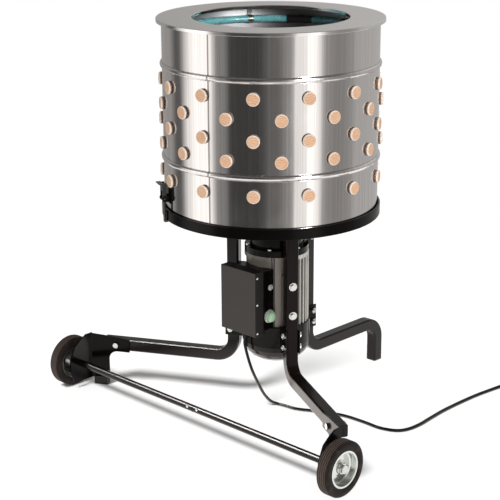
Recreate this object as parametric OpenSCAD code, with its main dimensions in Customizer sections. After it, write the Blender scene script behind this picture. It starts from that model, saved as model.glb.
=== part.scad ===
// Drum poultry plucker on a stand with two wheels and a foot.
// Sizes are in millimetres. +Z is up, the axle lies along X and the foot leg points along +Y.
// The origin is on the floor, in the middle of the stand's width and length.

/* [Drum] */
// Outside diameter of the drum
drum_d = 508; // [480:1:540]
// Height of the drum's sheet, from the pan to the rim
drum_h = 456; // [440:1:500]
// Thickness of the drum's sheet
drum_wall = 1.5; // [1:0.1:2.5]
// How far a rolled bead stands out
bead_out = 5; // [3:0.5:7]
// Height of a rolled bead
bead_h = 13; // [9:0.5:16]
// Height of the lower bead above the pan
bead_low = 134; // [130:1:140]
// Height of the upper bead above the pan
bead_high = 352; // [345:1:380]

/* [Rim] */
// How far the rim ring stands out past the drum
rim_over = 12; // [9:0.5:18]
// Diameter of the mouth
mouth_d = 367; // [330:1:390]
// Thickness of the rim ring's sheet
rim_t = 1.5; // [1:0.1:2.5]
// Depth of the rim ring's turned-down lips
rim_lip = 8; // [5:0.5:14]

/* [Fingers] */
// Fingers in each row round the drum
row_fingers = 13; // [9:1:16]
// Height of the lowest row above the pan
row_low = 93; // [88:1:100]
// Height of the second row above the pan
row_second = 171; // [168:1:178]
// Height between the upper rows
row_step = 47; // [42:0.5:49]
// Angle of the first finger round the drum
row_turn = -27.4; // [-40:0.1:40]
// Diameter of a finger's head
head_d = 30; // [26:0.5:32]
// Height of a finger's head
head_h = 9; // [7:0.5:11]
// Diameter of a finger's neck
neck_d = 19; // [16:0.5:20]
// Length of a finger past its sheet
finger_len = 76; // [60:1:80]
// Diameter of a finger's shaft at its root
root_d = 21; // [18:0.5:23]
// Diameter of a finger's tip
tip_d = 14; // [11:0.5:16]
// Ribs along a finger
finger_ribs = 5; // [3:1:7]

/* [Water ring] */
// Outside diameter of the irrigation hose
hose_d = 18; // [14:0.5:20]
// Bore of the irrigation hose
hose_bore = 12; // [8:0.5:13]
// Depth of the hose's middle below the rim's top
hose_drop = 40; // [34:0.5:50]
// Hanger clips round the hose
clip_count = 6; // [4:1:8]
// Angle of the first hanger clip
clip_turn = 145.5; // [130:0.5:160]
// Angle of the water inlet
inlet_turn = 116; // [110:0.5:120]
// Outside diameter of the water inlet's spigot
spigot_d = 18; // [14:0.5:22]
// Length of the spigot outside the drum
spigot_len = 28; // [20:1:40]

/* [Pan] */
// Height of the pan floor's underside above the ground
pan_z = 505; // [495:1:540]
// Thickness of the pan floor
pan_t = 3; // [2:0.5:5]
// Height of the base ring
base_h = 25; // [20:1:34]
// Thickness of the base ring's wall
base_wall = 4; // [2:0.5:6]
// Thickness of the base ring's flange
base_flange_t = 3; // [2:0.5:5]
// Width of the base ring's flange
base_flange = 26; // [24:1:32]
// Gap between the drum and the base ring
base_gap = 3; // [1:0.5:5]
// Angle of the first bolt round the pan
pan_bolt_turn = 66; // [60:1:72]
// Inner radius of the discharge opening
chute_in = 180; // [176:1:190]
// Width of the discharge opening
chute_w = 48; // [36:1:50]
// Sweep of the discharge opening in degrees
chute_sweep = 48; // [36:1:60]

/* [Feather plate] */
// Gap between the feather plate and the drum
plate_gap = 12; // [8:0.5:18]
// Thickness of the feather plate
plate_t = 4; // [3:0.5:6]
// Height of the plate's underside above the pan floor
plate_lift = 20; // [18:0.5:26]
// Gap between the plate's outer fingers and the drum's fingers
finger_gap = 10; // [6:0.5:16]
// Distance between the plate's finger rings
plate_ring_step = 40; // [36:0.5:42]
// Fingers in the plate's outer, middle and inner ring
plate_ring_fingers = [18, 15, 12]; // [8:1:18]
// Diameter of the hub's flange
hub_d = 92; // [84:1:96]

/* [Drive] */
// Distance of the motor behind the drum's middle
motor_offset = 20; // [18:0.5:24]
// Module of the gears
gear_module = 1.1; // [1.05:0.01:1.15]
// Teeth on the motor's pinion
motor_teeth = 14; // [13:1:16]
// Teeth on the intermediate gear
wheel_teeth = 42; // [40:1:44]
// Teeth on the intermediate pinion
pinion_teeth = 17; // [16:1:19]
// Teeth on the output gear
output_teeth = 35; // [33:1:37]
// Height of the gear housing
housing_h = 99; // [95:1:110]
// Thickness of the gear housing's side
housing_wall = 8.5; // [7:0.5:10]
// Thickness of the gear housing's lower cover
cover_t = 8; // [8:0.5:12]
// Diameter of the output shaft
output_d = 20; // [18:1:22]

/* [Motor] */
// Diameter of the motor's body without its fins
motor_d = 148; // [144:1:150]
// Height of the motor's finned body
motor_h = 177; // [170:1:190]
// Wall of the motor's body
motor_wall = 8; // [6:0.5:10]
// How far the cooling fins stand out
fin_h = 5; // [3:0.5:7]
// Thickness of a cooling fin
fin_t = 2.5; // [2:0.5:4]
// Diameter of the motor shaft
motor_shaft_d = 17; // [15:0.5:18]
// Diameter of the fan cowl
cowl_d = 164; // [158:1:168]
// Height of the fan cowl
cowl_h = 99; // [90:1:104]
// Radius of the fan cowl's lower edge
cowl_round = 46; // [25:1:50]
// Thickness of the fan cowl
cowl_wall = 2; // [1.5:0.5:3]

/* [Stand] */
// Side of the square leg tube
tube_w = 30; // [28:0.5:34]
// Wall of the leg tube
tube_wall = 2; // [1.5:0.5:3]
// Corner radius of the leg tube
tube_round = 4; // [3:0.5:6]
// Distance of the upright tubes from the motor's middle
leg_r = 108; // [106:1:114]
// Height of the horizontal runs' middle
run_z = 110; // [100:1:120]
// Radius of the tube bends
bend_r = 45; // [36:1:60]
// Angle of the wheel legs forward of the axle's direction
leg_turn = 28.3; // [26:0.1:32]
// Length of a wheel leg from the motor's middle
wheel_leg = 452; // [436:1:460]
// Distance of the foot from the motor's middle
foot_reach = 385; // [340:1:420]

/* [Wheels] */
// Diameter of a wheel
wheel_d = 128; // [116:1:136]
// Width of a tyre
tyre_w = 30.6; // [26:0.2:34]
// Diameter of the tyre's seat on the rim
seat_d = 80; // [70:1:86]
// Distance of each wheel's middle from the stand's middle
wheel_x = 456; // [450:1:480]
// Distance of the axle in front of the motor's middle
axle_ahead = 284; // [276:1:296]
// Diameter of the axle rod
axle_d = 12; // [10:0.5:13]
// Outside diameter of the axle's tubes
axle_tube_d = 17; // [16:0.5:20]
// Thickness of the wheel brackets
bracket_t = 4; // [3:0.5:5]
// Distance of the brackets' wheel plates from the stand's middle
bracket_x = 425; // [418:1:430]

/* [Control box] */
// Width of the lid
lid_w = 114; // [108:1:120]
// Height of the lid
lid_h = 160; // [150:1:168]
// Depth of the lid
lid_depth = 28; // [24:1:34]
// Thickness of the lid's and the box's sheet
box_wall = 2; // [1.5:0.5:3]
// Distance of the lid's face from the motor's middle
lid_face = 134; // [128:1:140]
// Distance of the lid's top below the motor's top
lid_drop = 21; // [16:1:30]
// Width of the box behind the lid
box_w = 100; // [96:1:104]
// Diameter of the push button
button_d = 26; // [22:0.5:28]
// Travel of the push button
button_travel = 4; // [2:0.5:4]

/* [Latches] */
// Angles of the two toggle latches round the drum
latch_turns = [243, 93]; // [0:1:360]
// Distance from a lever's pivot to its hook's pin
latch_throw = 9; // [8:0.5:10]
// Angle past dead centre at which a closed lever rests
latch_over = 8; // [4:1:12]
// Width of a latch's base
latch_w = 50; // [44:1:60]

/* [Cord] */
// Diameter of the mains lead
cord_d = 7.5; // [6:0.5:9]
// Turns in the coil that holds the spare length
coil_turns = 3; // [3:1:5]
// Outer radius of the coil at the lead's middle
coil_r = 45; // [42:1:60]

/* [Hidden] */
// Clearances
seat_clear = 0.45;  // a finger's groove round its sheet
slip = 0.1;         // bolts in holes and pieces that slide together
running = 0.05;     // shafts in their bearings
hang = 0.3;         // curved or moving faces that pass each other
hook_gap = 2;       // a latch's hook in front of the base ring

// Heights
pan_top = pan_z + pan_t;
rim_z = pan_top + drum_h;
rim_top = rim_z + rim_t;
hose_z = rim_top - hose_drop;
plate_z = pan_top + plate_lift;
plate_top = plate_z + plate_t;
housing_z = pan_z - housing_h;
motor_top = housing_z - cover_t;
motor_z = motor_top - motor_h;
cowl_z = motor_z - cowl_h;
base_z = pan_z - base_flange_t;

// Plan positions
wheel_r = wheel_d/2;
motor_y = (axle_ahead + wheel_r - foot_reach - tube_w/2)/2;
drum_y = motor_y - motor_offset;
axle_y = motor_y - axle_ahead;
wheel_leg_turns = [180 + leg_turn, 360 - leg_turn];
leg_turns = concat(wheel_leg_turns, [90]);

// Radii
drum_r = drum_d/2;
drum_in = drum_r - drum_wall;
rim_r = drum_r + rim_over;
mouth_r = mouth_d/2;
base_in = drum_r + base_gap;
base_r = base_in + base_wall;
pan_r = base_in - slip;
pan_bolt_r = base_r - base_flange + 9;
plate_r = drum_in - plate_gap;
plate_ring_r = drum_in - finger_len - finger_gap - root_d/2;
finger_hole_r = neck_d/2 + slip*2;
hose_r = drum_in - hose_d/2 - 2;
motor_r = motor_d/2;
motor_bore = motor_r - motor_wall;
leg_in = leg_r - tube_w/2;
leg_out = leg_r + tube_w/2;

// Bolts
bolt_d = 8;
small_bolt_d = 6;
screw_d = 3;

// Wall rows from the lowest up
row_heights = concat([row_low], [for (i = [0:3]) row_second + i*row_step]);

// Gear train, measured from the drum's middle
addendum = 0.9*gear_module;
dedendum = 1.25*gear_module;
gear_play = 0.3;
pressure = 20;
in_centres = gear_module*(motor_teeth + wheel_teeth)/2;
out_centres = gear_module*(pinion_teeth + output_teeth)/2;
mid_y = (out_centres^2 - in_centres^2 + motor_offset^2)/(2*motor_offset);
mid_x = sqrt(out_centres^2 - mid_y^2);
mid_from_motor = [mid_x, mid_y - motor_offset];
wheel_tip = gear_module*wheel_teeth/2 + addendum;
cavity_r = in_centres + wheel_tip + 1.6;
housing_r = cavity_r + housing_wall;
flange_r = housing_r + 13;
top_flange_r = housing_r + 14;
first_gear_z = housing_z + 6;
first_gear_w = 14;
second_gear_z = first_gear_z + first_gear_w + 9;
second_gear_w = 20;
cavity_top = second_gear_z + second_gear_w + 6;
// Outside diameter and width of each bearing
output_bearing = [output_d + 16, 9];
mid_shaft_d = 12;
mid_bearing = [mid_shaft_d + 10, 6];
lower_bearing_z = cavity_top + mid_bearing[1] + 3;
motor_bearing = [motor_shaft_d + 18, 10];

// Motor and cowl
shield_t = 14;
pad_w = 26;
face_bolt_z = [motor_top - 59, motor_top - 132];
side_bolt_z = [motor_z - 7, motor_z - 36];
side_bolt_r = leg_r + 6;
ear_t = 3;
ear_z = motor_z - 52;
ear_h = 58;

// Control box
lid_top = motor_top - lid_drop;
lid_z = lid_top - lid_h;
box_step = 6;
box_front = lid_face - box_wall - hang;
collar_w = lid_w - 2*box_wall - 2*slip;
collar_h = lid_h - 2*box_wall - 2*slip;
collar_back = lid_face - lid_depth - 6;
box_back = motor_r - 10;
box_cavity_back = motor_r + 2;
button_pos = [box_w/2, -(box_back + 15), lid_z + 39];
side_screw_pos = [box_w/2, -(box_back + 11), lid_z + 111];
bezel_len = 5;
gland_pos = [-20, -(lid_face - lid_depth - 14)];

// Wheel brackets, in the left wheel leg's own plane
bracket_far = tube_w/2 + bracket_t;
bend_s = (bracket_x + bracket_far*sin(leg_turn))/cos(leg_turn);
arm_s = bend_s - 108;
arm_z = [run_z - tube_w/2 - 2, run_z + tube_w/2 + 2];
bracket_top = run_z + 27;
bracket_foot = 16;
bracket_bolt_s = arm_s + 36;
foot_lift = 0.8;

// Latches, measured outwards from the drum's side
latch_z = base_z + 52;
latch_out = base_r - drum_r + hook_gap + 2.8;
hook_t = 3;
hook_w = 12;
lever_gap = hook_w/2 + 1;
lever_t = 2.5;

// Route of the mains lead from its gland to the coil
cord_route = [
    [-20, -118, 184], [-20, -118, 177], [-20, -118, 170], [-15, -116, 146], [-7, -113, 118],
    [0, -107, 92], [9, -88, 46], [13, -76, 26], [18, -63, 11], [29, -51, 4],
    [48, -47, 4], [82, -42, 4], [120, -23, 4], [160, -4, 4], [200, 9, 4],
    [255, 13, 4], [303, 13, 4], [341, 28, 4], [357, 56, 4], [360, 98, 4],
    [356, 140, 4], [351, 214, 4], [353, 320, 4], [361, 396, 4], [366, 424, 5],
    [367, 438, 5], [367, 449, 5], [367, 460, 5]];
coil_gap = 0.6;
coil_step = cord_d + coil_gap;
coil_z = cord_route[len(cord_route) - 1].z;
tie_t = 1;

$fn = 48;

// Places

module at_drum(turn = 0, z = 0) {
    translate([0, drum_y, z]) rotate(turn) children();
}

module at_motor(turn = 0, z = 0) {
    translate([0, motor_y, z]) rotate(turn) children();
}

// Points local +Z inwards, with local z = 0 on the drum's outside
module into_drum(turn, z) {
    at_drum(turn, z) translate([drum_r, 0, 0]) rotate([0, -90, 0]) children();
}

module both_sides() {
    children();
    mirror([1, 0, 0]) children();
}

// Shapes that repeat

module ring(r_out, r_in, h) {
    difference() {
        cylinder(r = r_out, h = h);
        translate([0, 0, -1]) cylinder(r = r_in, h = h + 2);
    }
}

// A bolt with its head above z = 0, and a nut below the pieces that it holds
module hex_bolt(d, grip, nut = true) {
    nut_h = 0.8*d;
    tail = nut ? nut_h + 2 : 0;
    cylinder(d = 1.9*d, h = 0.65*d, $fn = 6);
    translate([0, 0, -grip - tail]) cylinder(d = d, h = grip + tail + 0.5);
    if (nut) translate([0, 0, -grip - nut_h]) cylinder(d = 1.9*d, h = nut_h, $fn = 6);
}

// A bolt with a round flange under its head
module flange_bolt(d, grip) {
    cylinder(d = 2.5*d, h = 2);
    cylinder(d = 1.7*d, h = 6.5, $fn = 6);
    translate([0, 0, -grip]) cylinder(d = d, h = grip + 1);
}

module bolt_hole(d, depth) {
    translate([0, 0, -depth]) cylinder(d = d + 2*slip, h = depth + 20);
}

module rounded_square(w, r) {
    square([w - 2*r, w], center = true);
    square([w, w - 2*r], center = true);
    for (x = [-1, 1], y = [-1, 1]) translate([x, y]*(w/2 - r)) circle(r);
}

// Drum

function bead(r, z) = [for (a = [-90:30:90]) [r + bead_out*cos(a), z + bead_h/2*sin(a)]];

function drum_side(r) = concat([[r, pan_top]], bead(r, pan_top + bead_low),
    bead(r, pan_top + bead_high), [[r, rim_z]]);

function reversed(p) = [for (i = [len(p) - 1:-1:0]) p[i]];

// Every second row is turned half a pitch
function row_angle(row, i) = row_turn + (i + (row % 2)/2)*360/row_fingers;

module tub() {
    color("lightgray") difference() {
        at_drum() rotate_extrude($fn = 96)
            polygon(concat(drum_side(drum_r), reversed(drum_side(drum_in))));
        for (row = [0:4], i = [0:row_fingers - 1])
            into_drum(row_angle(row, i), pan_top + row_heights[row])
                translate([0, 0, -3]) cylinder(r = finger_hole_r, h = 8);
        into_drum(inlet_turn, hose_z) translate([0, 0, -3]) cylinder(d = spigot_d + 2*slip, h = 8);
    }
}

module rim_ring() {
    top = [[mouth_r, rim_top - rim_lip], [mouth_r, rim_top - 1], [mouth_r + 1, rim_top],
        [rim_r - 1, rim_top], [rim_r, rim_top - 1], [rim_r, rim_top - rim_lip]];
    under = [[rim_r - rim_t, rim_top - rim_lip], [rim_r - rim_t, rim_z], [mouth_r + rim_t, rim_z],
        [mouth_r + rim_t, rim_top - rim_lip]];
    color("lightgray") at_drum() rotate_extrude($fn = 96) polygon(concat(top, under));
}

// A rubber finger with its head below z = 0 and its sheet from z = 0 up
module finger(sheet_t) {
    base = sheet_t + seat_clear;
    root = root_d/2;
    ribbed = finger_len - 22;
    head = [[0, -head_h], [head_d/2 - 3, -head_h], [head_d/2 - 0.9, -head_h + 0.9],
        [head_d/2, -head_h + 3], [head_d/2, -1], [head_d/2 - 1, 0], [neck_d/2, 0]];
    shoulder = [[neck_d/2, base], [root + 2, base], [root + 2, base + 4], [root, base + 8]];
    ribs = [for (i = [0:finger_ribs - 1]) let (
            z = base + 10 + ribbed*i/finger_ribs,
            r = root + (tip_d/2 - root)*(i + 1)/(finger_ribs + 1))
        each [[r, z], [r + 1.4, z + 0.3*ribbed/finger_ribs], [r + 1, z + 0.7*ribbed/finger_ribs]]];
    tip = [[tip_d/2, base + finger_len - 11], [tip_d/2 - 0.6, base + finger_len - 4],
        [tip_d/2 - 3, base + finger_len - 0.8], [0, base + finger_len]];
    rotate_extrude($fn = 32) polygon(concat(head, shoulder, ribs, tip));
}

module wall_fingers(row) {
    color("peachpuff") for (i = [0:row_fingers - 1])
        into_drum(row_angle(row, i), pan_top + row_heights[row]) finger(drum_wall);
}

// Water ring

tee_sweep = 16;

module irrigation_hose() {
    color("lightseagreen") at_drum(inlet_turn + tee_sweep/2, hose_z)
        rotate_extrude(angle = 360 - tee_sweep, $fn = 96) translate([hose_r, 0]) difference() {
            circle(d = hose_d);
            circle(d = hose_bore);
        }
}

// The tee joins the hose's two ends and passes through the drum's side
module hose_tee() {
    color("goldenrod") difference() {
        union() {
            at_drum(inlet_turn - tee_sweep/2, hose_z)
                rotate_extrude(angle = tee_sweep, $fn = 96) translate([hose_r, 0]) circle(d = hose_d);
            into_drum(inlet_turn, hose_z) translate([0, 0, -spigot_len])
                cylinder(d = spigot_d, h = spigot_len + drum_r - hose_r);
            into_drum(inlet_turn, hose_z) translate([0, 0, -6]) cylinder(d = spigot_d + 10, h = 6, $fn = 6);
        }
        into_drum(inlet_turn, hose_z) translate([0, 0, -spigot_len - 1])
            cylinder(d = hose_bore, h = spigot_len + drum_r - hose_r);
    }
}

// Straps that hang the hose from the rim
module hose_clips() {
    strap_w = 12;
    strap_t = 1.2;
    strap_r = hose_d/2 + hang;
    color("silver") for (i = [0:clip_count - 1]) at_drum(clip_turn + i*360/clip_count, hose_z)
        translate([hose_r, strap_w/2, 0]) rotate([90, 0, 0]) linear_extrude(strap_w) difference() {
            union() {
                circle(r = strap_r + strap_t);
                translate([strap_r, 0]) square([strap_t, rim_z - hose_z]);
            }
            circle(r = strap_r);
        }
}

// Pan

module base_ring() {
    profile = [[base_r - base_flange, base_z], [base_r, base_z], [base_r, base_z + base_h - 1],
        [base_r - 1, base_z + base_h], [base_in, base_z + base_h], [base_in, pan_z],
        [base_r - base_flange, pan_z]];
    color("#1a1a1a") difference() {
        at_drum() rotate_extrude($fn = 96) polygon(profile);
        pan_bolt_places() bolt_hole(small_bolt_d, 20);
    }
}

module pan_bolt_places() {
    for (i = [0:3]) at_drum(pan_bolt_turn + 90*i, pan_top) translate([pan_bolt_r, 0, 0]) children();
}

module housing_bolt_places() {
    for (i = [0:3]) at_motor(45 + 90*i, pan_top) translate([housing_r + 8, 0, 0]) children();
}

module leg_top_bolt_places() {
    for (turn = leg_turns, side = [-1, 1])
        at_motor(turn, pan_top) translate([leg_out + 13, side*16, 0]) children();
}

module pan_floor() {
    color("dimgray") difference() {
        at_drum(0, pan_z) cylinder(r = pan_r, h = pan_t, $fn = 96);
        at_drum(0, pan_z - 1) cylinder(d = output_d + 8, h = pan_t + 2);
        at_drum(90 - chute_sweep/2, pan_z - 1) rotate_extrude(angle = chute_sweep, $fn = 96)
            translate([chute_in, 0]) square([chute_w, pan_t + 2]);
        pan_bolt_places() bolt_hole(small_bolt_d, 20);
        housing_bolt_places() bolt_hole(small_bolt_d, 20);
        leg_top_bolt_places() bolt_hole(bolt_d, 20);
    }
}

module pan_bolts() {
    color("silver") pan_bolt_places() hex_bolt(small_bolt_d, pan_t + base_flange_t);
}

// Latches

// Points local +X outwards from the drum's side at a latch, with local z = 0 at the lever's pivot
module at_latch(i) {
    at_drum(latch_turns[i], latch_z) translate([drum_r + latch_out, 0, 0]) children();
}

latch_pin = [-latch_throw*sin(latch_over), latch_throw*cos(latch_over)];
stub_d = 5;

module latch_cheek(side, from, thickness) {
    translate([0, side > 0 ? from + thickness : -from, 0]) rotate([90, 0, 0])
        linear_extrude(thickness) children();
}

module latch_bases() {
    ear_from = lever_gap + lever_t + hang;
    plate_sweep = latch_w/drum_r*180/PI;
    color("#202020") for (i = [0, 1]) {
        at_drum(latch_turns[i] - plate_sweep/2, latch_z - 10)
            rotate_extrude(angle = plate_sweep, $fn = 96)
            translate([drum_r + running, 0]) square([2, 36]);
        at_latch(i) for (side = [-1, 1]) latch_cheek(side, ear_from, 2) difference() {
            union() {
                translate([-latch_out + 1, -7]) square([latch_out - 1, 14]);
                circle(d = 14);
            }
            circle(d = stub_d + 2*running);
        }
    }
}

// The lever stands up when closed. Its two cheeks carry stub pins, and the hook's pin between them
module latch_lever(i) {
    ear_out = lever_gap + lever_t + hang + 2;
    color("gray") at_latch(i) {
        for (side = [-1, 1]) {
            latch_cheek(side, lever_gap, lever_t) {
                circle(d = 11);
                translate([-4.5, 0]) square([10, 38]);
            }
            latch_cheek(side, lever_gap, ear_out - lever_gap + 1) circle(d = stub_d);
        }
        translate([latch_pin.x, 0, latch_pin.y]) rotate([90, 0, 0])
            cylinder(d = 4, h = 2*lever_gap + 1, center = true);
        translate([3.5, -lever_gap - lever_t, 20]) cube([2, 2*(lever_gap + lever_t), 18]);
        translate([3.5, -15, 36]) cube([11, 30, 2]);
    }
}

// A flat draw bar: an eye round the lever's pin, and a toe under the base ring
module latch_hook(i) {
    foot_z = base_z - hang - latch_z;
    toe_in = drum_r + latch_out - (base_r - 4);
    color("lightsteelblue") at_latch(i) translate([0, hook_w/2, 0]) rotate([90, 0, 0])
        linear_extrude(hook_w) difference() {
            union() {
                translate(latch_pin) circle(d = 9);
                translate([latch_pin.x - hook_t/2, foot_z - 5]) square([hook_t, latch_pin.y - foot_z + 5]);
                translate([-toe_in, foot_z - 5]) square([toe_in + latch_pin.x, 5]);
            }
            translate(latch_pin) circle(d = 4 + 2*running);
        }
}

// Feather plate and its drive

module plate_finger_places() {
    for (ring = [0:2], i = [0:plate_ring_fingers[ring] - 1])
        at_drum((i + ring/2)*360/plate_ring_fingers[ring], plate_z)
            translate([plate_ring_r - ring*plate_ring_step, 0, 0]) children();
}

hub_bolt_r = hub_d/2 - 9;

module hub_bolt_places() {
    for (i = [0:5]) at_drum(i*60, plate_top) translate([hub_bolt_r, 0, 0]) children();
}

module feather_plate() {
    color("silver") difference() {
        at_drum() rotate_extrude($fn = 96) polygon([[output_d/2 + running, plate_z], [plate_r - 1, plate_z],
            [plate_r, plate_z + 1], [plate_r, plate_top - 1], [plate_r - 1, plate_top],
            [output_d/2 + running, plate_top]]);
        plate_finger_places() translate([0, 0, -1]) cylinder(r = finger_hole_r, h = plate_t + 2);
        hub_bolt_places() bolt_hole(small_bolt_d, plate_t + 2);
    }
}

module plate_fingers() {
    color("peachpuff") plate_finger_places() finger(plate_t);
}

seal_h = 6;

module plate_hub() {
    color("gray") difference() {
        union() {
            at_drum(0, pan_top + seal_h + hang) cylinder(r = output_d/2 + 14, h = plate_lift - seal_h - hang);
            at_drum(0, plate_z - 8) cylinder(d = hub_d, h = 8);
        }
        at_drum(0, pan_top) cylinder(d = output_d + 2*running, h = plate_lift + 1);
        hub_bolt_places() bolt_hole(small_bolt_d, plate_t + 10);
    }
}

shaft_top = plate_top + 14;

module plate_bolts() {
    color("silver") {
        hub_bolt_places() hex_bolt(small_bolt_d, plate_t + 8, nut = false);
        at_drum(0, plate_top) difference() {
            union() {
                cylinder(d = output_d + 20, h = 3);
                cylinder(d = output_d + 14, h = 14, $fn = 6);
                translate([0, 0, 14]) cylinder(d1 = output_d + 10, d2 = output_d - 4, h = 6);
            }
            translate([0, 0, -1]) cylinder(d = output_d + 2*running, h = 15.5);
        }
    }
}

module shaft_seal() {
    profile = [[output_d/2 + running, pan_top + hang], [output_d/2 + 9, pan_top + hang],
        [output_d/2 + 5, pan_top + 2], [output_d/2 + 5, pan_top + seal_h],
        [output_d/2 + running, pan_top + seal_h]];
    color("#303030") at_drum() rotate_extrude() polygon(profile);
}

module output_shaft() {
    from = second_gear_z - 3;
    color("silver") at_drum(0, from) cylinder(d = output_d, h = shaft_top - from);
}

// Involute gear outline, with a tooth's middle at angle 0
function flank(r, base) = let (a = acos(min(base/r, 1))) tan(a)*180/PI - a;

function gear_outline(teeth) = let (
        pitch_r = gear_module*teeth/2,
        base = pitch_r*cos(pressure),
        half = 90/teeth - gear_play/2/pitch_r*180/PI + flank(pitch_r, base),
        root = pitch_r - dedendum,
        low = max(base, root + 0.1),
        tip = pitch_r + addendum,
        radii = [root, low, low + (tip - low)/3, low + (tip - low)*2/3, tip])
    [for (i = [0:teeth - 1]) let (middle = i*360/teeth) each concat(
        [for (r = radii) r*[cos(middle - half + flank(r, base)), sin(middle - half + flank(r, base))]],
        [for (r = reversed(radii)) r*[cos(middle + half - flank(r, base)), sin(middle + half - flank(r, base))]])];

// Turn of a gear that meshes with one of a given turn, seen along a direction
function mesh_turn(teeth, turn, other, toward) =
    toward + 180 - (0.5 - (toward - turn)*teeth/360)*360/other;

wheel_gear_turn = mesh_turn(motor_teeth, 0, wheel_teeth, atan2(mid_from_motor.y, mid_from_motor.x));
output_gear_turn = mesh_turn(pinion_teeth, 0, output_teeth, atan2(-mid_y, -mid_x));

module gear(teeth, width, turn) {
    rotate(turn) linear_extrude(width) polygon(gear_outline(teeth));
}

module output_gear() {
    color("slategray") at_drum(0, second_gear_z) difference() {
        gear(output_teeth, second_gear_w, output_gear_turn);
        translate([0, 0, -1]) cylinder(d = output_d + 2*running, h = second_gear_w + 2);
    }
}

module at_mid(z) {
    at_drum(0, z) translate([mid_x, mid_y, 0]) children();
}

module intermediate_gears() {
    seat = 16;
    from = housing_z - mid_bearing[1] + hang;
    color("slategray") {
        at_mid(first_gear_z) difference() {
            gear(wheel_teeth, first_gear_w, wheel_gear_turn);
            translate([0, 0, -1]) cylinder(d = seat + 2*running, h = first_gear_w + 2);
        }
        at_mid(from) cylinder(d = mid_shaft_d, h = cavity_top + mid_bearing[1] - hang - from);
        at_mid(housing_z + 2) cylinder(d = seat, h = second_gear_z - housing_z - 2);
        at_mid(second_gear_z) gear(pinion_teeth, second_gear_w, 0);
    }
}

module bearing(size, bore) {
    ring(size[0]/2, bore/2 + running, size[1]);
}

module bearings() {
    color("silver") {
        for (z = [lower_bearing_z, pan_z - 2 - output_bearing[1]])
            at_drum(0, z) bearing(output_bearing, output_d);
        for (z = [cavity_top, housing_z - mid_bearing[1]]) at_mid(z) bearing(mid_bearing, mid_shaft_d);
        for (z = [motor_top - 1, motor_z - 2 - motor_bearing[1]])
            at_motor(0, z) bearing(motor_bearing, motor_shaft_d);
    }
}

cover_bolt_d = 5;
motor_flange_t = 10;

module cover_bolt_places() {
    for (i = [0:5]) at_motor(60*i, housing_z + 8) translate([flange_r - 6, 0, 0]) children();
}

module gear_housing() {
    color("#161616") difference() {
        union() {
            at_motor(0, housing_z) cylinder(r = housing_r, h = housing_h);
            at_motor(0, housing_z) cylinder(r = flange_r, h = 8);
            at_motor(0, pan_z - 8) cylinder(r = top_flange_r, h = 8);
        }
        at_motor(0, housing_z - 1) cylinder(r = cavity_r, h = cavity_top - housing_z + 1);
        at_drum(0, cavity_top - 1) cylinder(d = output_d + 8, h = pan_z - cavity_top + 2);
        at_drum(0, lower_bearing_z) cylinder(d = output_bearing[0], h = pan_z - lower_bearing_z + 1);
        at_mid(cavity_top - 1) cylinder(d = mid_bearing[0], h = mid_bearing[1] + 1);
        cover_bolt_places() bolt_hole(cover_bolt_d, 20);
        housing_bolt_places() bolt_hole(small_bolt_d, 20);
    }
}

// The lower cover carries the motor's upper bearing and the intermediate shaft's lower one
module gear_cover() {
    spigot = 12;
    color("#262626") difference() {
        union() {
            at_motor(0, motor_top) cylinder(r = flange_r, h = cover_t);
            at_motor(0, motor_top - spigot) cylinder(r = motor_bore - slip, h = spigot);
        }
        at_motor(0, motor_top - spigot - 1) cylinder(d = motor_shaft_d + 4, h = spigot + cover_t + 2);
        at_motor(0, motor_top - spigot - 1) cylinder(d = motor_bearing[0], h = spigot + motor_bearing[1]);
        at_mid(housing_z - mid_bearing[1]) cylinder(d = mid_bearing[0], h = mid_bearing[1] + 1);
        cover_bolt_places() bolt_hole(cover_bolt_d, 20);
    }
}

module housing_bolts() {
    color("silver") {
        cover_bolt_places() hex_bolt(cover_bolt_d, 8 + cover_t + motor_flange_t - 1, nut = false);
        housing_bolt_places() hex_bolt(small_bolt_d, pan_t + 8);
    }
}

// Motor

module face_bolt_places() {
    for (turn = leg_turns, z = face_bolt_z)
        at_motor(turn, z) translate([leg_out, 0, 0]) rotate([0, 90, 0]) children();
}

module motor_frame() {
    pad_z = face_bolt_z[1] - 16;
    pad_h = face_bolt_z[0] - face_bolt_z[1] + 32;
    color("darkgray") difference() {
        union() {
            at_motor(0, motor_z) cylinder(r = motor_r, h = motor_h);
            at_motor(0, motor_top - motor_flange_t) cylinder(r = flange_r, h = motor_flange_t);
            at_motor(0, motor_z) linear_extrude(motor_h - 2) for (a = [-10:10:190]) rotate(a)
                translate([motor_r - 1, -fin_t/2]) square([fin_h + 1, fin_t]);
            for (turn = leg_turns) at_motor(turn, pad_z)
                translate([motor_r - 4, -pad_w/2, 0]) cube([leg_in - motor_r + 4, pad_w, pad_h]);
        }
        at_motor(0, motor_z - 1) cylinder(r = motor_bore, h = motor_h + 2);
        face_bolt_places() bolt_hole(bolt_d, leg_out - motor_bore - 4);
        cover_bolt_places() bolt_hole(cover_bolt_d, 8 + cover_t + motor_flange_t);
    }
}

module motor_stator() {
    gap_r = motor_bore - 26;
    core = [motor_z + 34, motor_top - 40];
    profile = [[gap_r, core[0]], [gap_r + 4, core[0] - 16], [motor_bore - 5, core[0] - 16],
        [motor_bore - 4, core[0]], [motor_bore - slip, core[0]], [motor_bore - slip, core[1]],
        [motor_bore - 4, core[1]], [motor_bore - 5, core[1] + 16], [gap_r + 4, core[1] + 16], [gap_r, core[1]]];
    color("peru") at_motor() rotate_extrude() polygon(profile);
}

module motor_rotor() {
    r = motor_bore - 26.6;
    color("dimgray") at_motor(0, motor_z + 30) ring(r, motor_shaft_d/2 + running, motor_h - 66);
}

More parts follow.
